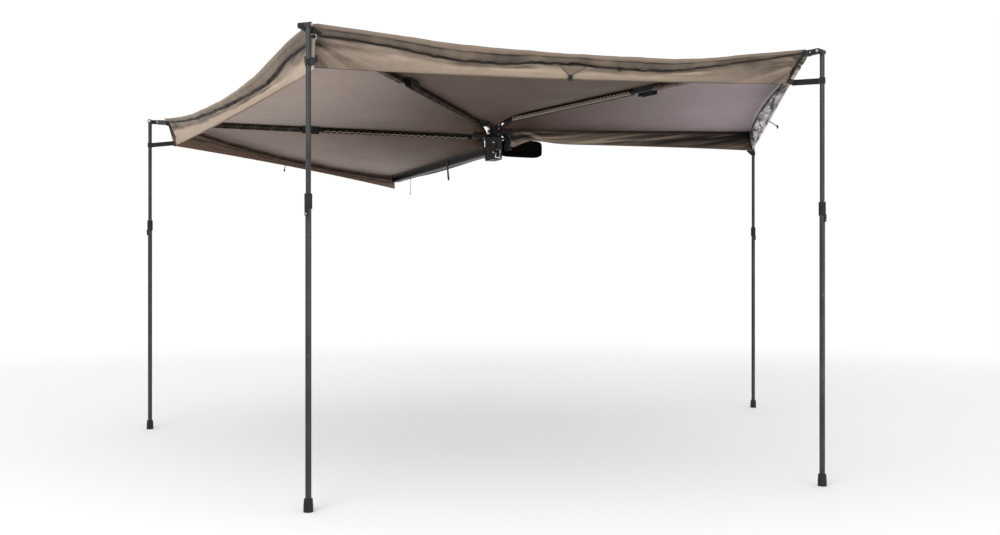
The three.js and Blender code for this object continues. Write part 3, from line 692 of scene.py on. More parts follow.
def pleats(s, length, depth, number):
    """Folds that fan out from each corner."""
    made = 0
    for run, middle, side in (((1 - s) * length, 0.055, 1), (s * length, 0.045, 3)):
        angle = np.arctan2(depth - middle, run + 0.03)
        made = made + (ruffle(angle * 11, 0, number + side) * np.exp(-run / 0.3)
                       * ramp(run, 0, 0.03))
    return made


def long_folds(s, t, number):
    """Folds that run with the hem, one above another, and die away below."""
    phase = 2.1 * t + 0.32 * ruffle(s * 5.5, 0, number + 4) + 0.16 * ruffle(s * 17, 0, number)
    strength = 0.55 + 0.45 * ruffle(s * 8, t * 2, number + 6)
    return np.sin(FULL_TURN * phase) * strength * (1 - ramp(t, 0.5, 0.8)) * ramp(t, 0, 0.08)


# %% The valance of a sector
# rows of the doubled band: the share of its height, how far a crease sinks it, and how much painted
# shade darkens it
BAND_ROWS = ((0.36, 0, 0), (0.44, 0.4, 0.5), (0.48, 1, 1), (0.54, 0.2, 0.4), (0.78, 0, 0.35),
             (1.0, 0, 0.45))
LACE_PITCH = 150  # stitches of the laced band, in radians for each metre


def valance(number, edge, s):
    """Rows of points from below the edge to the hem, with the tone of each. s is how far across
    the sector each column is."""
    look = SECTORS[number]
    middle = (TURNS[number - 1] + TURNS[number]) / 2
    outward = np.array((math.cos(middle), math.sin(middle), 0))
    foot_a, foot_b = hem_corners(number)
    length = np.linalg.norm(foot_b - foot_a)
    arch = 4 * s * (1 - s)
    hem = foot_a * (1 - s[:, None]) + foot_b * s[:, None]
    hem[:, 2] -= look["hem_sag"] * arch
    full = edge[:, 2] - hem[:, 2]
    ends = arch**0.5
    crease = np.minimum(look["crease"](s), 0.6 * full)

    def row(depth, out, wobble=0.0):
        """A row this far below the edge and this far out."""
        t = np.clip(depth / full, 0, 1)
        at_arm = (1 - ramp(s, 0.0, 0.05)) * look.get("square", 0)
        t = (t + (1 - (1 - t) ** 18 - t) * at_arm)[:, None]
        made = edge * (1 - t) + hem * t + outward * (out * ends)[:, None]
        made[:, 2] = edge[:, 2] - depth + wobble * ends
        return made

    # the lip and the doubled band, with a painted highlight along the lip's edge, painted shade in
    # the band's creases, and painted light and shade on its folds and wavy edge
    jag = 0.0030 * ruffle(s * 70, 0, number) + 0.0018 * ruffle(s * 190, 0, number + 2)
    fold = 0.0045 * ruffle(s * 24, 0, number + 5)
    fine = 0.0020 * ruffle(s * 95, 0, number + 7)
    lip, mid, low = (corner + (halfway - corner) * arch
                     for corner, halfway in (look["lip"], look["mid"], look["low"]))
    rows = [(row(0.003 + 0 * s, 0.004), lip + 0.12), (row(0.011 + 0 * s, 0.007), lip)]
    line = look["line"] * (0.8 + 0.4 * ruffle(s * 40, 0, number + 9)) * ramp(arch, 0, 0.2)
    for part, sunk, toned in BAND_ROWS:
        out = 0.008 + 0.004 * part + (fold + fine) * part - 0.004 * sunk * look["line"]
        wavy = jag * part * (0.4 + 0.6 * (part > 0.7))
        stitch = look.get("lace", 0) * np.sign(np.sin(s * length * LACE_PITCH + 3 * part))
        rows.append((row(np.maximum(crease * part, 0.012 + 0.003 * part), out, wavy),
                     lip - toned * line + 10 * (fold + fine) + 14 * jag * (part - 0.4) + stitch))
    # the crease under the band, darkened with painted shade
    dark = 0.3 + 0.2 * (ruffle(s * 31, 0, number + 8) > 0) * ramp(arch, 0.02, 0.2)
    rows.append((row(crease - 0.003, 0.005 + fold, jag), lip - dark))
    rows.append((row(crease - 0.006, -0.005 + 0 * s, jag), lip - 1.6 * dark))
    rows.append((row(crease + 0.004, -0.006 + 0.4 * fold, jag), mid - 1.2 * dark))
    # the single cloth below it, and the turned hem
    for t in np.arange(1, BULGE_ROWS + 1) / BULGE_ROWS:
        calm = (1 - ramp(t, 0.45, 0.85)) * look.get("crumple", 1)
        depth = crease + 0.004 + (full - crease - 0.004) * t
        ripple = 0.003 * ruffle(s * 21 + 2 * t, t * 3, number + 1) * calm
        ripple = ripple + 0.0018 * ruffle(s * 62 - 5 * t, t * 4, number + 3) * calm
        ripple = ripple + 0.0042 * long_folds(s, t, number)
        corner = (0.0062 * look.get("pleat", 1) * pleats(s, length, depth, number)
                  * (1 - 0.5 * t) * ramp(t, 0, 0.15))
        out = -0.005 + 0.007 * math.sin(math.pi * t) + ripple + corner
        # painted light and shade: the cloth is lighter lower down, where it bellies out into the
        # light, and each fold and pleat is lighter where it stands out and darker where it sinks
        change = ramp(t / look["turn"], 0.7, 1.35)
        tone = mid + (low - mid) * change + (30 - 10 * change) * (ripple + corner)
        # in a crumpled sector, strong painted highlights and shades follow the crumples
        if "crumple" in look:
            folds = ruffle(s * 34 + 7 * t, t * 6, 2)
            tone = tone + 0.35 * folds - 0.9 * ramp(ruffle(s * 23 - 4 * t, t * 5, 1), 0.35, 0.7)
        rows.append((row(depth, out), tone))
    for out in (0.0012, -0.002):
        rows.append((row(full, out + 0 * s), low - 0.2))
    return np.array([points for points, _ in rows]), np.array([tone for _, tone in rows])


# %% [markdown]
# Roof and valance are now made and sewn together, sector by sector. At the arm before it the cloth
# starts beside that arm, over the neighbour's end, and at its own arm the valance stops at the
# tube, so the strip beyond it is a hole. Each point's share of the turn comes from its own angle
# round the hub.
# %% All four sectors
CLOTH_THICK = 0.0012


def column_share(edge):
    """How far across the sector each point of its edge is, from 0 to 1."""
    place = walked(edge)
    return np.clip(place / place[-STRIP - 1], 0, 1)


canopy = {}
for number, look in SECTORS.items():
    top, inside = roof(number)
    edge = top[-1].copy()
    if number > 1:
        first = over(number - 1, CORNERS[number]["ends"][0], START_LEFT, LIFT)
        spread = np.linspace(0, 1, STRIP + 1)
        edge[:STRIP + 1] = first + (edge[STRIP] - first) * spread[:, None]
        top[-1, :STRIP + 1] = edge[:STRIP + 1]
    s = column_share(edge)
    hanging, hanging_tone = valance(number, edge, s)
    # the lining's painted shade: darker at the hub, lighter towards the edge
    at_hub, at_edge = look["under"]
    top_tone = at_hub + (at_edge - at_hub) * ramp(ROWS_OUT, 0, 1)[:, None] + 0 * top[..., 0]
    angle = np.unwrap(np.arctan2(top[..., 1] - HUB[1], top[..., 0] - HUB[0]), axis=1)
    share = (angle - angle[:, :1]) / (angle[:, -1:] - angle[:, :1])
    points = np.concatenate((top, hanging))
    hole = np.zeros((len(points) - 1, points.shape[1] - 1), bool)
    hole[ROOF_ROWS - 1:, -STRIP:] = True
    grid = {
        "points": points, "tone": np.clip(np.concatenate((top_tone, hanging_tone)), 0, 1),
        "share": np.concatenate((share, np.repeat(share[-1:], len(hanging), 0))), "hole": hole,
        "kind": np.concatenate((np.zeros(ROOF_ROWS - 1), np.ones(len(hanging))))[:, None],
    }
    inner = ("silver_cloth_in_painted_shade", "lining_in_painted_light") if number == 4 else ("silver_cloth", "lining_in_painted_shade")
    piece = cloth_from(f"canopy_cloth_{number}", [grid], CLOTH_THICK,
                       ["roof_cloth", "brown_cloth", *inner], (BODIES[number - 1], BODIES[number]))
    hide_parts(f"canopy_{number}")
    area = cloth_area(points)
    canopy[number] = {"hanging": hanging, "inside": s, "share": share[-1]}
    print(f"  cloth area {area:.2f} m2")

# %% [markdown]
# ## Pieces that ride on the cloth
# A tab or an eyelet on the canopy has to turn with the spot where it is sewn. It gets the share of
# that spot all over, by the same flat pattern. Soft trims are swept here from a line: a round
# section for cord and piping, and a flat one for webbing. A curve with a bevel would do the same,
# but it twists where the line turns, and webbing has to keep its face.
# %% Riding on a sector
def carry(piece, bodies, share=0.0):
    """Fix a piece to one body. With two bodies, lay its points on the flat pattern at this share of
    their turn, one for all its points or one for each, and then put them back."""
    if len(bodies) == 1:
        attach(piece, bodies[0])
        return
    mesh = piece.data
    place = np.zeros(3 * len(mesh.vertices))
    mesh.vertices.foreach_get("co", place)
    flat = np.zeros_like(place)
    flat[0::3] = flat_place(share)
    mesh.vertices.foreach_set("co", flat)
    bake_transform(piece)
    mesh.vertices.foreach_set("co", place)
    mesh.update()


# %% Sweeping a section along a line
def sides_of(path, up):
    """The side and the top direction at each point of a line."""
    along = np.gradient(path, axis=0)
    along /= np.linalg.norm(along, axis=1)[:, None]
    side = np.cross(along, np.broadcast_to(np.asarray(up, float), along.shape))
    side /= np.linalg.norm(side, axis=1)[:, None] + 1e-12
    return side[:, None], np.cross(side, along)[:, None]


def swept(name, paths, section, finish, bodies, share=0.0, up=(0, 0, 1), smooth=True):
    """One mesh that sweeps a section, given as (side, top) points, along each path. A list of
    shares has an array for each path."""
    section = np.asarray(section, float)
    count, points, faces, uvs = len(section), [], [], []
    round_about = walked(section)
    for path in paths:
        path = np.asarray(path, float)
        side, top = sides_of(path, up)
        index = (sum(map(len, points))
                 + np.arange(len(path) * count).reshape(len(path), count))
        turned = np.roll(index, -1, axis=1)
        points.append((path[:, None] + side * section[None, :, :1]
                       + top * section[None, :, 1:]).reshape(-1, 3))
        uvs.append(np.stack(np.broadcast_arrays(walked(path)[:, None], round_about[None]), -1)
                   .reshape(-1, 2))
        faces += (np.stack((index[1:], turned[1:], turned[:-1], index[:-1]), -1)
                  .reshape(-1, 4).tolist())
        faces += [index[0].tolist(), index[-1][::-1].tolist()]
    mesh = bpy.data.meshes.new(name)
    mesh.from_pydata(np.concatenate(points).tolist(), [], faces)
    write_uv(mesh, np.concatenate(uvs))
    mesh.polygons.foreach_set("use_smooth", np.full(len(mesh.polygons), smooth))
    mesh.materials.append(FINISHES[finish])
    mesh.update()
    piece = bpy.data.objects.new(name, mesh)
    SCENE.collection.objects.link(piece)
    if isinstance(share, list):
        share = np.repeat(np.concatenate(share), count)
    carry(piece, bodies, share)
    print(f"{name}: {sum(walked(path)[-1] for path in paths):.2f} m")
    return piece


# %% Sections, lines and straps
def circle(radius, sides=8):
    turn = np.linspace(0, FULL_TURN, sides, endpoint=False)
    return np.stack((radius * np.cos(turn), radius * np.sin(turn)), -1)


def band(width, thickness):
    w, t = width / 2, thickness / 2
    return ((-w, -t), (w, -t), (w, t), (-w, t))


def rounded_path(points, steps=8):
    """A smooth line through a few points."""
    points = np.asarray(points, float)
    place = walked(points)
    at = np.linspace(0, place[-1], steps * (len(points) - 1) + 1)
    return np.stack([through(*zip(place, column))(at) for column in points.T], -1)


def strap(name, points, width, thickness, bodies, up, share=0.0):
    """Webbing along a smooth line through a few points."""
    return swept(name, [rounded_path(points)], band(width, thickness), "webbing", bodies, share, up)


# %% Finding a spot on a valance
def skin(number, s, row, off=0.0):
    """A point on a valance: how far across it, in which row, and how far off its face."""
    rows, inside = canopy[number]["hanging"], canopy[number]["inside"]
    column = np.interp(s, inside[:-STRIP], np.arange(len(inside) - STRIP))
    i, j = int(min(row, len(rows) - 2)), int(min(column, rows.shape[1] - 2))
    y, x = row - i, column - j
    near = rows[i, j] * (1 - x) + rows[i, j + 1] * x
    below = rows[i + 1, j] * (1 - x) + rows[i + 1, j + 1] * x
    out = np.cross(rows[min(i + 3, len(rows) - 1), j] - rows[i, j], rows[i, j + 1] - rows[i, j])
    return near * (1 - y) + below * y + off * out / np.linalg.norm(out)


def share_at(number, s):
    """The share of the sector's turn at a spot."""
    return float(np.interp(s, canopy[number]["inside"][:-STRIP],
                           canopy[number]["share"][:-STRIP]))


# %% [markdown]
# ## The last valance
# The fourth arm carries a valance of its own, on the side towards the camera. It hangs in long
# soft folds, its inner end drops in a corner by the hub, and its two edges are piped. It is a
# second kind of grid, because it is folded over the sleeve and then falls free.
# %% Last valance
LAST_FROM, LAST_TO, LAST_OUT = 0.102, 1.938, 0.0165  # along the arm, and how far to its right
LAST_ROWS = 26
LAST_SIZE = (1.9, 0.3)
last_hem = through((0.102, 0.024), (0.12, 0.020), (0.15, 0.032), (0.19, 0.048), (0.25, 0.067),
                   (0.33, 0.070), (0.45, 0.066), (0.75, 0.074), (1.044, 0.084), (1.5, 0.098),
                   (1.938, 0.107))
# how far the hem swings out over the end of the bag
last_swing = through((0.102, 0.082), (0.13, 0.080), (0.19, 0.066), (0.25, 0.052), (0.33, 0.034),
                     (0.42, 0.019), (0.5, LAST_OUT), (1.938, LAST_OUT))
along = np.concatenate((np.linspace(LAST_FROM, 0.3, 30)[:-1], np.linspace(0.3, LAST_TO, 150)))
wide = 1 + 0.5 * ramp(-along, -0.165, -0.13)  # it clears the knuckle, which is wider than the tube
far = ramp(along, 0.3, 0.5)
# over the tube, and round its edge
rows = [over(4, along, left * wide, up) for left, up in (
    (0.0, LIFT), (-0.006, LIFT), (-0.0125, LIFT - 0.001), (-0.0155, LIFT - 0.005))]
tones = [0.36 - 0.1 * far for _ in rows]
# down to the hem
start_z = over(4, along, -LAST_OUT * wide, LIFT - 0.006)[:, 2]
for t in np.arange(1, LAST_ROWS + 1) / LAST_ROWS:
    slack = np.sin(np.pi * t) ** 0.7
    long_fold = 0.006 * ruffle(along * 4.5 + 5.5 * t, t * 2.0, 1.0) * slack
    short_fold = 0.0028 * ruffle(along * 17 + 9 * t, t * 3.0, 2.0) * slack
    near_hub = 0.010 * ruffle(along * 26 - 7 * t, t * 5, 4.0) * ramp(-along, -0.42, -0.16) * slack
    bulge = np.abs(long_fold + short_fold + near_hub) + 0.004 * slack
    swing = (last_swing(along) - LAST_OUT) * np.sin(np.pi * t / 2) ** 0.8
    place = over(4, along, -np.maximum(LAST_OUT * wide, LAST_OUT + swing) - bulge, 0.0)
    place[:, 2] = start_z * (1 - t) + last_hem(along) * t
    rows.append(place)
    # painted light and shade: each fold is lighter where it stands out, with painted shade just
    # below the turn over the tube; the cloth is also darker further out along the arm
    tones.append(0.46 - 0.3 * ramp(along, 0.55, 1.2) + 0.08 * ramp(t, 0.35, 0.8)
                 + 70 * (0.7 * long_fold + short_fold + near_hub) - 0.25 * far * (t < 0.09))
points = np.array(rows)
last = cloth_from("last_valance_cloth", [{"points": points, "tone": np.array(tones)}],
                  CLOTH_THICK, ["brown_cloth", "lining_in_painted_shade"], ("arm_4",))
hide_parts("last_valance")
within(cloth_area(points), LAST_SIZE)

# %% Its piping, and the strap at its inner end
PIPING = circle(0.0022, 6)
swept("last_valance_piping", [points[-1], points[4:, 0], points[4:, -1]], PIPING, "edge_cord",
      ("arm_4",))
inner_edge = points[5:, 0] + (0.006, 0.015, 0)
tail = inner_edge[-1:] + ((0.001, -0.002, -0.012), (0.003, -0.004, -0.026))
edge_strap = rounded_path(np.concatenate((inner_edge[::3], tail)), 3)
swept("last_valance_strap", [edge_strap], band(0.040, 0.002), "webbing", ("arm_4",),
      up=(-1, 0.25, 0))

# %% [markdown]
# ## Sleeves and lacing
# Each arm runs in a sleeve: a gathered strip down either side of the tube, open below, that stops
# for the clip. Its section is a few points round the tube, with finer rows between them, and the
# gathers are waves along it. Where a folded pole's foot and collar lie, it is pressed flat.
# %% Section of a sleeve
SLEEVE = np.array((
    (0.0118, 0.0146), (0.0136, 0.0075), (0.0142, 0.0), (0.0138, -0.0075), (0.0118, -0.0135),
    (0.0070, -0.0156), (0.0, -0.0161), (-0.0070, -0.0156), (-0.0118, -0.0135),
    (-0.0138, -0.0075), (-0.0142, 0.0), (-0.0136, 0.0075), (-0.0118, 0.0146)))
SLEEVE_FINE = 4  # rows between two of those points
SLEEVE_SIZE = (1.8, 0.078)
SLEEVE_FROM, CLIP_FROM, CLIP_TO, SLEEVE_TO = 0.132, 0.998, 1.118, 1.9
GATHER_STEP = 0.006
PRESSED_AT = (0.27, 0.34, 1.2, 1.26, 1.43, 1.49)
PRESSED_BY = (0.23, 0.0, 0.0, 0.14, 0.14, 0.0)


# %% Sleeves
def sleeve(number, inner_tones, outer_tones):
    """A sleeve in two lengths. The tones go round it from its left edge to its right one."""
    at = np.linspace(0, len(SLEEVE) - 1, SLEEVE_FINE * (len(SLEEVE) - 1) + 1)
    left, up = (np.interp(at, np.arange(len(SLEEVE)), column) for column in SLEEVE.T)
    grids = []
    for start, end, tones in ((SLEEVE_FROM, CLIP_FROM, inner_tones),
                              (CLIP_TO, SLEEVE_TO, outer_tones)):
        run = np.linspace(start, end, int((end - start) / GATHER_STEP))
        tone_at = np.interp(at, np.linspace(0, at[-1], len(tones)), tones)
        press = np.interp(run, PRESSED_AT, PRESSED_BY)
        rows, shades = [], []
        for i, (aside, rise, tone) in enumerate(zip(left, up, tone_at)):
            loose = min(i, len(at) - 1 - i, 6) / 6
            gather = 0.0009 * ruffle(run * 230 + 0.35 * i, i * 0.2, number) * loose
            gather = gather + 0.0008 * ruffle(run * 60 - 0.2 * i, i * 0.1, number + 1) * loose
            size = 1 + gather / 0.014
            width = (size - press * size) if aside > 0.011 else size
            rows.append(over(number, run, aside * width, rise * size if rise < 0.01 else rise))
            # painted light and shade: lighter where a gather stands out, darker where it sinks
            shades.append(tone + 110 * gather)
        grids.append({"points": np.array(rows)[:, ::-1], "tone": np.array(shades)[:, ::-1]})
    piece = cloth_from(f"arm_{number}_sleeve", grids, 0.0008, ["sleeve_cloth", "sleeve_cloth"],
                       (f"arm_{number}",))
    within(sum(cloth_area(grid["points"]) for grid in grids), SLEEVE_SIZE)


# tones round each sleeve, from its left edge to its right: mostly painted shade, as the sleeves lie
# under the canopy, with lighter stripes of painted light along their creases
DARK, LINE, HALF, PALE = 0.03, 0.25, 0.45, 0.6
sleeve(1, (DARK, DARK, DARK, PALE, DARK, DARK, LINE, DARK), (DARK, LINE, DARK, LINE, DARK, DARK))
sleeve(2, (DARK, DARK, LINE, DARK, HALF, DARK, DARK, DARK), (LINE, DARK, HALF, DARK, LINE, DARK))
sleeve(3, (DARK, DARK, LINE, DARK, LINE, 0.35, DARK, DARK), (DARK, LINE, DARK, PALE, LINE, DARK))
sleeve(4, (DARK, LINE, DARK, DARK, LINE, DARK), (DARK, LINE, DARK, DARK, LINE, DARK))

# %% [markdown]
# Two arms are laced under their inner half, and a lace holds the cloth to the beam. A lace runs to
# and fro between two rows of holes, so its path is a wave with eased corners, and a straight cord
# runs beside it where the photograph shows one.
# %% Lacing
def zigzag(start, end, pitch, place):
    """Points that step from side to side, eased at each turn."""
    count = int((end - start) / pitch)
    run = np.linspace(start, end, 6 * count + 1)
    swing = np.sin(np.arange(len(run)) * np.pi / 3)
    return place(run, np.sign(swing) * np.abs(swing) ** 0.7)


def on_arm_3(run, swing):
    return over(3, run, -0.0154 - 0.0004 * np.abs(swing), -0.0045 + 0.0072 * swing)


def on_beam(run, swing):
    return HUB + np.stack((run, 0.0282 + 0 * run, 0.0125 + 0.0072 * swing), -1)


def on_arm_1(run, swing):
    return over(1, run, 0.0152, -0.0075 + 0.003 * swing)


LACED, BEAM_LACED = (0.15, 0.985), (0.09, 1.87)  # from and to, along an arm and the beam
run = np.linspace(*LACED, 240)
lace_3 = [zigzag(*LACED, 0.021, on_arm_3), on_arm_3(run, -1.15 + 0.1 * np.sin(run * 290))]
swept("arm_3_lacing", lace_3, circle(0.0023, 6), "lace_cord", ("arm_3",))
run = np.linspace(*BEAM_LACED, 200)
beam_lace = [zigzag(*BEAM_LACED, 0.036, on_beam), on_beam(run, 1.1 + 0 * run)]
swept("beam_lacing", beam_lace, circle(0.0021, 6), "dark_cord", ("hub",))
swept("arm_1_lacing", [zigzag(*LACED, 0.034, on_arm_1)], circle(0.0017, 6), "lace_cord", ("arm_1",))

# %% [markdown]
# ## Webbing between the poles and the canopy's corners
# A strap goes once round each pole, runs in along the arm and ends in a cross piece that is sewn
# to both valance corners. Its points have shares from 0 at the corner, by the arm, to 1 at the
# loop, by the pole.
# %% Corner straps
STRAP_HEIGHT, STRAP_THICK, LOOP_RADIUS = 0.025, 0.0022, 0.0122
CROSS_OUT, CROSS_LEFT, CROSS_RIGHT = 0.008, 0.006, 0.018  # how far the cross piece reaches
STRAPS = {1: (0.138, 0.138, 0.046), 2: (0.142, 0.060, 0.121), 3: (0.121, 0.142, 0.126),
          4: (0.126, 0.046, 0.117)}  # drop below the hinge, set-back of the corner, its height


def beside(number):
    """Level directions along an arm and to its left."""
    c, s = math.cos(TURNS[number]), math.sin(TURNS[number])
    return np.array((c, s, 0)), np.array((-s, c, 0))


for number, (drop, back, height) in STRAPS.items():
    out_dir, left_dir = beside(number)
    middle = over(number, REACH, POLE_SIDE, 0.0) - np.array((0, 0, drop))
    corner = over(number, REACH - back, POLE_SIDE, 0.0)
    corner[2] = height
    turn = np.linspace(np.pi, 3 * np.pi, 41)[:, None]
    loop = middle + LOOP_RADIUS * (np.cos(turn) * out_dir + np.sin(turn) * left_dir)
    t = np.linspace(0, 1, 17)[:, None]
    tail = (middle - out_dir * LOOP_RADIUS) * (1 - t) + corner * t + left_dir * STRAP_THICK
    cross_from = corner + left_dir * CROSS_LEFT + out_dir * CROSS_OUT
    cross_to = corner - left_dir * (POLE_SIDE + CROSS_RIGHT) + out_dir * CROSS_OUT
    cross = cross_from * (1 - t) + cross_to * t
    shares = [np.ones(len(loop)), 1 - t[:, 0], np.zeros(len(cross))]
    piece = swept(f"corner_strap_{number}", [loop, tail, cross], band(STRAP_THICK, STRAP_HEIGHT),
                  "webbing", (f"arm_{number}", f"pole_{number}"), shares, smooth=False)
    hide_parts(f"pole_{number}_strap")

# %% [markdown]
# ## The storage bag
# The empty bag lies beside the beam on the brackets. Its rear end is still stiff and stands up as a
# rounded barrel. The rest is a lofted shell that sags between soft folds. Rings of points are
# easier to steer here than a pushed block: curves along the bag give each ring its edges, and the
# waves sink only its upper side.
# %% Curves along the bag
BAG_NEAR = -0.0635  # its side next to the beam
BARREL_TO, BARREL_LOWER = 0.14, 0.0015  # where the stiff rear end stops, and how much lower it is
BAG_STATIONS = (0.030, 0.033, 0.042, 0.06, 0.08, 0.10, 0.13, 0.16, 0.19, 0.25, 1.82, 1.868, 1.880)


def along_bag(*values):
    """A smooth curve through values at the stations."""
    return through(*zip(BAG_STATIONS, values))


bag_bottom = along_bag(-0.020, -0.025, -0.028, -0.028, -0.028, -0.023, -0.006, 0.0064, 0.0066,
                       0.0066, 0.0066, 0.008, 0.014)
bag_top = along_bag(0.056, 0.062, 0.066, 0.066, 0.066, 0.064, 0.054, 0.047, 0.045, 0.042, 0.040,
                    0.032, 0.024)
bag_far = along_bag(-0.303, -0.312, -0.318, -0.320, -0.320, -0.285, -0.205, -0.156, -0.150,
                    -0.148, -0.146, -0.142, -0.13)


# %% Rings and shell of the bag
def bag_ring(x):
    """The ring of points round the bag at this distance from the hub."""
    barrel = x < BARREL_TO
    bottom, top = bag_bottom(x), bag_top(x) - BARREL_LOWER * barrel
    half = (BAG_NEAR - bag_far(x)) / 2
    turn = np.linspace(0, FULL_TURN, 73)
    c, s = np.cos(turn), np.sin(turn)
    boxy = 0.36 if barrel else 0.5
    across = np.sign(c) * np.abs(c) ** boxy * half
    lift = np.sign(s) * np.abs(s) ** boxy
    upper = np.clip(lift, 0, 1)
    slack = ramp(x, 0.12, 0.3)
    dip = (0.006 * ruffle(x * 9, 0, 1) + 0.003 * ruffle(across * 60 + x * 14, 0, 3)
           + 0.0018 * ruffle(x * 55, across[0] * 3, 5)) * upper * slack
    sunk = 0.006 * upper * (1 - (across / half) ** 2) * slack
    z = (bottom + top) / 2 + lift * (top - bottom) / 2 - np.abs(dip) - sunk
    return HUB + np.stack((np.full_like(z, x), BAG_NEAR - half + across, z), -1)


def closed(ring, shares):
    """Smaller copies of a ring that close an end."""
    middle = ring.mean(0)
    return np.array([middle + (ring - middle) * share for share in shares])


run = np.concatenate((np.linspace(0.03, 0.05, 9)[:-1], np.linspace(0.05, 0.3, 50)[:-1],
                      np.linspace(0.3, 1.84, 120)[:-1], np.linspace(1.84, 1.88, 12)))
rings = np.array([bag_ring(x) for x in run])
shell = np.concatenate((closed(rings[0], (0.0, 0.35, 0.7, 0.93)), rings,
                        closed(rings[-1], (0.7, 0.3, 0.0))))
bag_tone = 0.45 + 0.2 * np.sin(shell[..., 0] * 23) * (shell[..., 2] > 0.01)
bag = cloth_from("storage_bag_shell", [{"points": shell, "tone": bag_tone}], 0.0,
                 ["bag_cloth", "bag_cloth"], ("hub",))
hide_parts("storage_bag")
swept("storage_bag_piping", [rings[3], rings[12]], circle(0.0018, 6), "bag_cloth", ("hub",),
      up=(1, 0, 0))

# %% [markdown]
# ## Hard trims
# Buckles, bolts, rings and ribs are small hard pieces. Each starts as a primitive at its own size,
# is shaped by hand operators and put in its place, and rides on the body that it is fixed to. What
# repeats is modelled once and copied. Each copy gets a mesh of its own, because its place is then
# written into that mesh, and a shared one would move them all.
# %% Primitives to start from
def start_piece(add, name, finish, **settings):
    """A new primitive, and nothing else selected."""
    bpy.ops.object.select_all(action="DESELECT")
    add(**settings)
    piece = bpy.context.object
    piece.name = name
    piece.data.materials.append(FINISHES[finish])
    return piece


def block(name, size, finish):
    piece = start_piece(bpy.ops.mesh.primitive_cube_add, name, finish, size=1)
    piece.scale = size
    bpy.ops.object.transform_apply(location=True, rotation=True, scale=True)
    return piece


def drum(name, radius, depth, finish, sides=24):
    return start_piece(bpy.ops.mesh.primitive_cylinder_add, name, finish, radius=radius,
                       depth=depth, vertices=sides)


def hoop(name, radius, thickness, finish):
    return start_piece(bpy.ops.mesh.primitive_torus_add, name, finish, major_radius=radius,
                       minor_radius=thickness, major_segments=36, minor_segments=10)


# %% Shaping a trim, and putting it in its place
def window(piece, frame, depth):
    """Sink a window into the upper face."""
    bpy.ops.object.mode_set(mode="EDIT")
    bpy.ops.mesh.select_mode(type="FACE")
    bpy.ops.mesh.select_all(action="DESELECT")
    bpy.ops.object.mode_set(mode="OBJECT")
    for face in piece.data.polygons:
        face.select = face.normal.z > 0.9
    bpy.ops.object.mode_set(mode="EDIT")
    bpy.ops.mesh.inset(thickness=frame)
    bpy.ops.mesh.extrude_region_move(TRANSFORM_OT_translate={"value": (0, 0, -depth)})
    bpy.ops.object.mode_set(mode="OBJECT")
    return piece


def eased(piece, width):
    """Bevel the sharp edges of a piece."""
    shape_with(piece, "BEVEL", width=width, segments=2, limit_method="ANGLE")
    return piece


def settle(piece, at, x_axis, z_axis, bodies, share=0.0):
    """Turn a piece to these axes, put it in its place and fix it to its body."""
    x = Vector(x_axis).normalized()
    y = Vector(z_axis).cross(x).normalized()
    turn = Matrix((x, y, x.cross(y))).transposed().to_4x4()
    piece.matrix_world = Matrix.Translation(Vector(at)) @ turn @ piece.matrix_world
    bpy.ops.object.transform_apply(location=True, rotation=True, scale=True)
    bpy.ops.object.shade_smooth_by_angle(angle=math.radians(35))
    carry(piece, bodies, share)
    print(piece.name, "on", " and ".join(bodies))
    return piece


# %% Copies of a trim
def repeated(model, places):
    """Settle a copy of the model, with its own mesh, in each place: a name, and what settle asks
    for. The model itself is removed."""
    pieces = []
    for name, *how in places:
        piece = model.copy()
        piece.data = model.data.copy()
        piece.name = name
        SCENE.collection.objects.link(piece)
        bpy.ops.object.select_all(action="DESELECT")
        piece.select_set(True)
        bpy.context.view_layer.objects.active = piece
        pieces.append(settle(piece, *how))
    bpy.data.meshes.remove(model.data)
    return pieces


# %% [markdown]
# Each knuckle's eye sits in a ribbed guard, which is moulded in one with its three ribs. Plain
# rings give that outline with few faces. A strap with a ladder buckle hangs on the rear of the
# hub's block, and bolts hold the block to the beam.
# %% Eye guards
LEVEL_AXES = ((1, 0, 0), (0, 0, 1))  # a trim's own x and z axes, when it lies level
repeated(hoop("guard", 0.0320, 0.0052, "black_plastic"), [
    (f"arm_{n}_eye_guard", HUB + (0, 0, LEVEL[n]), *LEVEL_AXES, (f"arm_{n}",)) for n in ARMS])
repeated(hoop("rib", 0.0366, 0.0014, "black_plastic"), [
    (f"arm_{n}_guard_rib_{place}", HUB + (0, 0, LEVEL[n] + rise), *LEVEL_AXES, (f"arm_{n}",))
    for n in ARMS for place, rise in enumerate((-0.0078, 0.0, 0.0078))])

# %% Buckle, strap and bolts of the hub
HUB_BODY = ("hub",)
BACK_FACE = -0.046
buckle_tilt = math.radians(9)
across_buckle = (0, math.cos(buckle_tilt), math.sin(buckle_tilt))
buckle = eased(window(block("hub_buckle", (0.030, 0.050, 0.005), "steel"), 0.006, 0.0035), 0.0008)
settle(buckle, HUB + (BACK_FACE - 0.0045, -0.002, -0.030), across_buckle, (-1, 0, 0), HUB_BODY)
bar = drum("hub_buckle_bar", 0.0024, 0.028, "steel", 14)
settle(bar, HUB + (BACK_FACE - 0.0072, -0.002, -0.030), (1, 0, 0), across_buckle, HUB_BODY)
hanging_down = ((-0.0012, -0.001, 0.030), (-0.0045, -0.0015, 0.0), (-0.0095, -0.002, -0.030),
                (-0.0045, -0.003, -0.050), (-0.0012, -0.004, -0.060))
strap("hub_buckle_strap", [HUB + (BACK_FACE + x, y, z) for x, y, z in hanging_down],
      0.020, 0.0018, HUB_BODY, up=(-1, 0, 0))

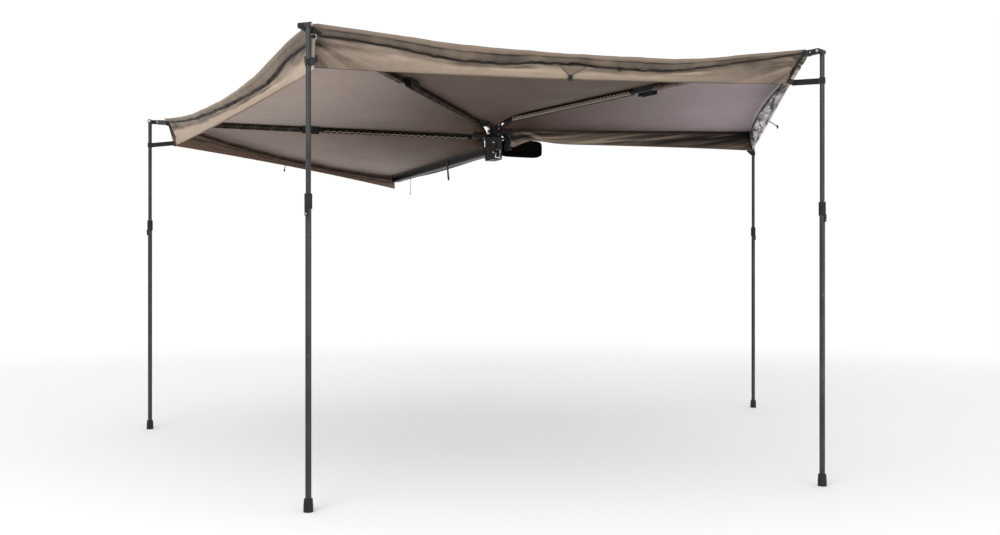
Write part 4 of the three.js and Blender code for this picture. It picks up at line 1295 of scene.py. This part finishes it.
BOLTS_AT = ((0.022, 0.036), (0.022, -0.02), (-0.022, -0.052))
for part, radius, depth, finish, sides, edge, off in (
        ("bolt", 0.0048, 0.005, "black_plastic", 6, 0.0007, 0.0026),
        ("washer", 0.0068, 0.0012, "steel", 28, 0.0003, 0.0007)):
    repeated(eased(drum(part, radius, depth, finish, sides), edge), [
        (f"hub_rear_{part}_{place}", HUB + (BACK_FACE - off, y, z), (0, 1, 0), (-1, 0, 0), HUB_BODY)
        for place, (y, z) in enumerate(BOLTS_AT)])

# %% [markdown]
# Two rivets on either side hold each arm's tube to its knuckle and to its tip. Seen from outside
# each is only a low round head, so a thin drum with an eased edge is enough.
# %% Rivets in the arms
RIVETS_AT, TUBE_SIDE = (0.1225, 1.952), 0.0109
repeated(eased(drum("rivet", 0.0038, 0.0018, "steel", 18), 0.0006), [
    (f"arm_{n}_rivet_{place}_{word}", over(n, run, side * TUBE_SIDE, 0.0), beside(n)[0],
     side * beside(n)[1], (f"arm_{n}",))
    for n in ARMS for place, run in enumerate(RIVETS_AT)
    for side, word in ((-1, "right"), (1, "left"))])

# %% [markdown]
# A steel ring and a hook tie the canopy's corner to the end of the second arm, with a pale strap
# below. At the third arm a black strap with a buckle runs down the valance's end. The straps are
# flat bands on smooth lines, turned so that their broad side shows as it does in the photograph.
# %% Hook, ring and pale strap at the second arm
out_dir, left_dir = beside(2)
strap("arm_2_hook_strap", [over(2, *at) for at in ((1.953, 0.0125, 0.004), (1.960, 0.030, -0.008),
                                                   (1.958, 0.046, -0.020), (1.947, 0.062, -0.030))],
      0.022, 0.003, ("arm_2",), up=out_dir - 0.3 * left_dir)
ring_at = over(2, 1.964, 0.040, -0.040)
settle(hoop("arm_2_ring", 0.0115, 0.0022, "steel"), ring_at, (0, 0, 1), out_dir + 0.5 * left_dir,
       ("arm_2",))
lug = eased(block("arm_2_hook_lug", (0.012, 0.020, 0.016), "black_plastic"), 0.002)
settle(lug, over(2, 1.963, 0.038, -0.022), out_dir, (0, 0, 1), ("arm_2",))
path = rounded_path([ring_at + v for v in ((0, 0, -0.009), (0.002, 0.001, -0.030),
                                           (0.0, 0.003, -0.056), (0.004, 0.002, -0.078))])
swept("arm_2_pale_strap", [path, path + 0.004 * out_dir], band(0.016, 0.0016), "pale_webbing",
      ("arm_2",), up=out_dir + 0.6 * left_dir)

# %% Strap and buckle at the third arm
out_dir, left_dir = beside(3)
edge_top, edge_foot = over(3, 1.912, -0.0145, -0.012), over(3, REACH - 0.140, -0.0155, 0)
edge_foot[2] = 0.122
bowed = edge_top * 0.5 + edge_foot * 0.5 - 0.004 * left_dir
strap("arm_3_end_strap", [edge_top, bowed, edge_foot], 0.018, 0.002, ("arm_3",), up=-left_dir)
buckle = eased(window(block("arm_3_buckle", (0.030, 0.024, 0.007), "black_plastic"), 0.004, 0.003),
               0.0012)
settle(buckle, edge_top * 0.45 + edge_foot * 0.55 - 0.008 * left_dir, edge_foot - edge_top,
       -left_dir, ("arm_3",))

# %% [markdown]
# ## Tab, eyelets and toggles
# The front valance carries a folded triangular tab with a short strap, and two black eyelets.
# Toggles hang from two hems. The tab's grid is laid on points of the valance itself, so that it
# follows the folds, and each trim gets the share of the cloth's turn at its own spot.
# %% The tab
TAB_S, TAB_TOP_ROW, TAB_FOOT_ROW = 0.512, 10.6, 24.5
TAB_HALF_TOP, TAB_HALF_FOOT = 0.029, 0.0025
FRONT = ("arm_2", "arm_3")
DOWN = np.array((0, 0, -1.0))
tab_share = share_at(3, TAB_S)
tab = []
for t in np.linspace(0, 1, 9):
    half = TAB_HALF_TOP * (1 - t) + TAB_HALF_FOOT * t
    row = TAB_TOP_ROW + (TAB_FOOT_ROW - TAB_TOP_ROW) * t
    tab.append([skin(3, TAB_S + k * half, row,
                     0.0028 + 0.003 * math.sin(math.pi * t) * (1 - abs(k)))
                for k in np.linspace(-1, 1, 13)])
tab = np.array(tab)
piece = cloth_from("front_tab", [{"points": tab, "tone": 0.5, "share": tab_share}], CLOTH_THICK,
                   ["brown_cloth", "brown_cloth"], FRONT)
min(max(cloth_area(tab), 0.0031), 0.0085)
swept("front_tab_piping", [tab[:, 0], tab[:, -1]], PIPING, "dark_cord", FRONT, tab_share)
facing = tab[4, 6] - skin(3, TAB_S, (TAB_TOP_ROW + TAB_FOOT_ROW) / 2, 0)
off_cloth = facing / np.linalg.norm(facing)
tip = tab[-1, 6]
strap("front_tab_strap",
      [tip - 0.012 * DOWN + 0.002 * off_cloth, tip + 0.004 * off_cloth, tip + 0.020 * DOWN],
      0.018, 0.002, FRONT, facing, tab_share)

# %% Eyelets and toggles
repeated(hoop("eyelet", 0.006, 0.0018, "black_plastic"), [
    (f"front_eyelet_{place}", skin(3, s, TAB_TOP_ROW, 0.003), (0, 0, 1), facing, FRONT,
     share_at(3, s)) for place, s in enumerate((0.507, 0.612))])

HEM_ROW = 10 + BULGE_ROWS
TOGGLES = (("first", 1, 0.56, 0.012), ("fourth", 4, 0.44, 0.05))  # sector, spot, swing of the cord
lines, places = [], []
for name, number, s, reach in TOGGLES:
    spot = skin(number, s, HEM_ROW)
    swing = (spot - skin(number, s, HEM_ROW - 4, -0.03)) * (1, 1, 0)
    swing = swing / np.linalg.norm(swing)
    path = rounded_path([spot + swing * 0.002, spot + swing * reach * 0.5 + 0.012 * DOWN,
                         spot + swing * reach + 0.030 * DOWN])
    lines.append(path)
    places.append((f"{name}_toggle", path[-1], swing, (0.3, 0, 1), BODIES[number - 1:number + 1],
                   share_at(number, s)))
toggles = repeated(eased(drum("toggle", 0.0045, 0.018, "black_plastic", 18), 0.0012), places)
for (name, *_), path, (*_, bodies, share), toggle in zip(TOGGLES, lines, places, toggles):
    cord = swept(f"{name}_toggle_cord", [path], circle(0.0024, 8), "webbing", bodies, share)

# %% [markdown]
# ## Straps under the beam
# A flat strap and a thin cord hang down from the beam. They tie the rolled cloth when the awning
# is stowed. The cord ends in a knot: at this size a small round one reads as well as a tied one.
# %% Strap and cord under the beam
STRAP_X, CORD_X = 0.69, 1.44  # along the beam
BESIDE = 0.0268  # just off its side
strap("beam_strap", [HUB + (STRAP_X + x, y, z) for x, y, z in (
    (0, 0.012, 0.0203), (0, BESIDE, 0.0175), (0, BESIDE + 0.0015, -0.02), (-0.002, BESIDE, -0.06),
    (-0.006, BESIDE - 0.004, -0.118))], 0.025, 0.002, HUB_BODY, up=(0, 1, 0.4))
path = rounded_path([HUB + (CORD_X + x, BESIDE + y, z) for x, y, z in (
    (0, 0.001, -0.012), (0, 0.002, -0.05), (0.006, 0, -0.10), (0.012, 0.002, -0.15))])
cord = swept("beam_cord", [path], circle(0.0016, 8), "webbing", HUB_BODY)
knot = start_piece(bpy.ops.mesh.primitive_uv_sphere_add, "beam_cord_knot", "webbing", radius=0.004,
                   segments=16, ring_count=10)
settle(knot, path[-1], *LEVEL_AXES, HUB_BODY)
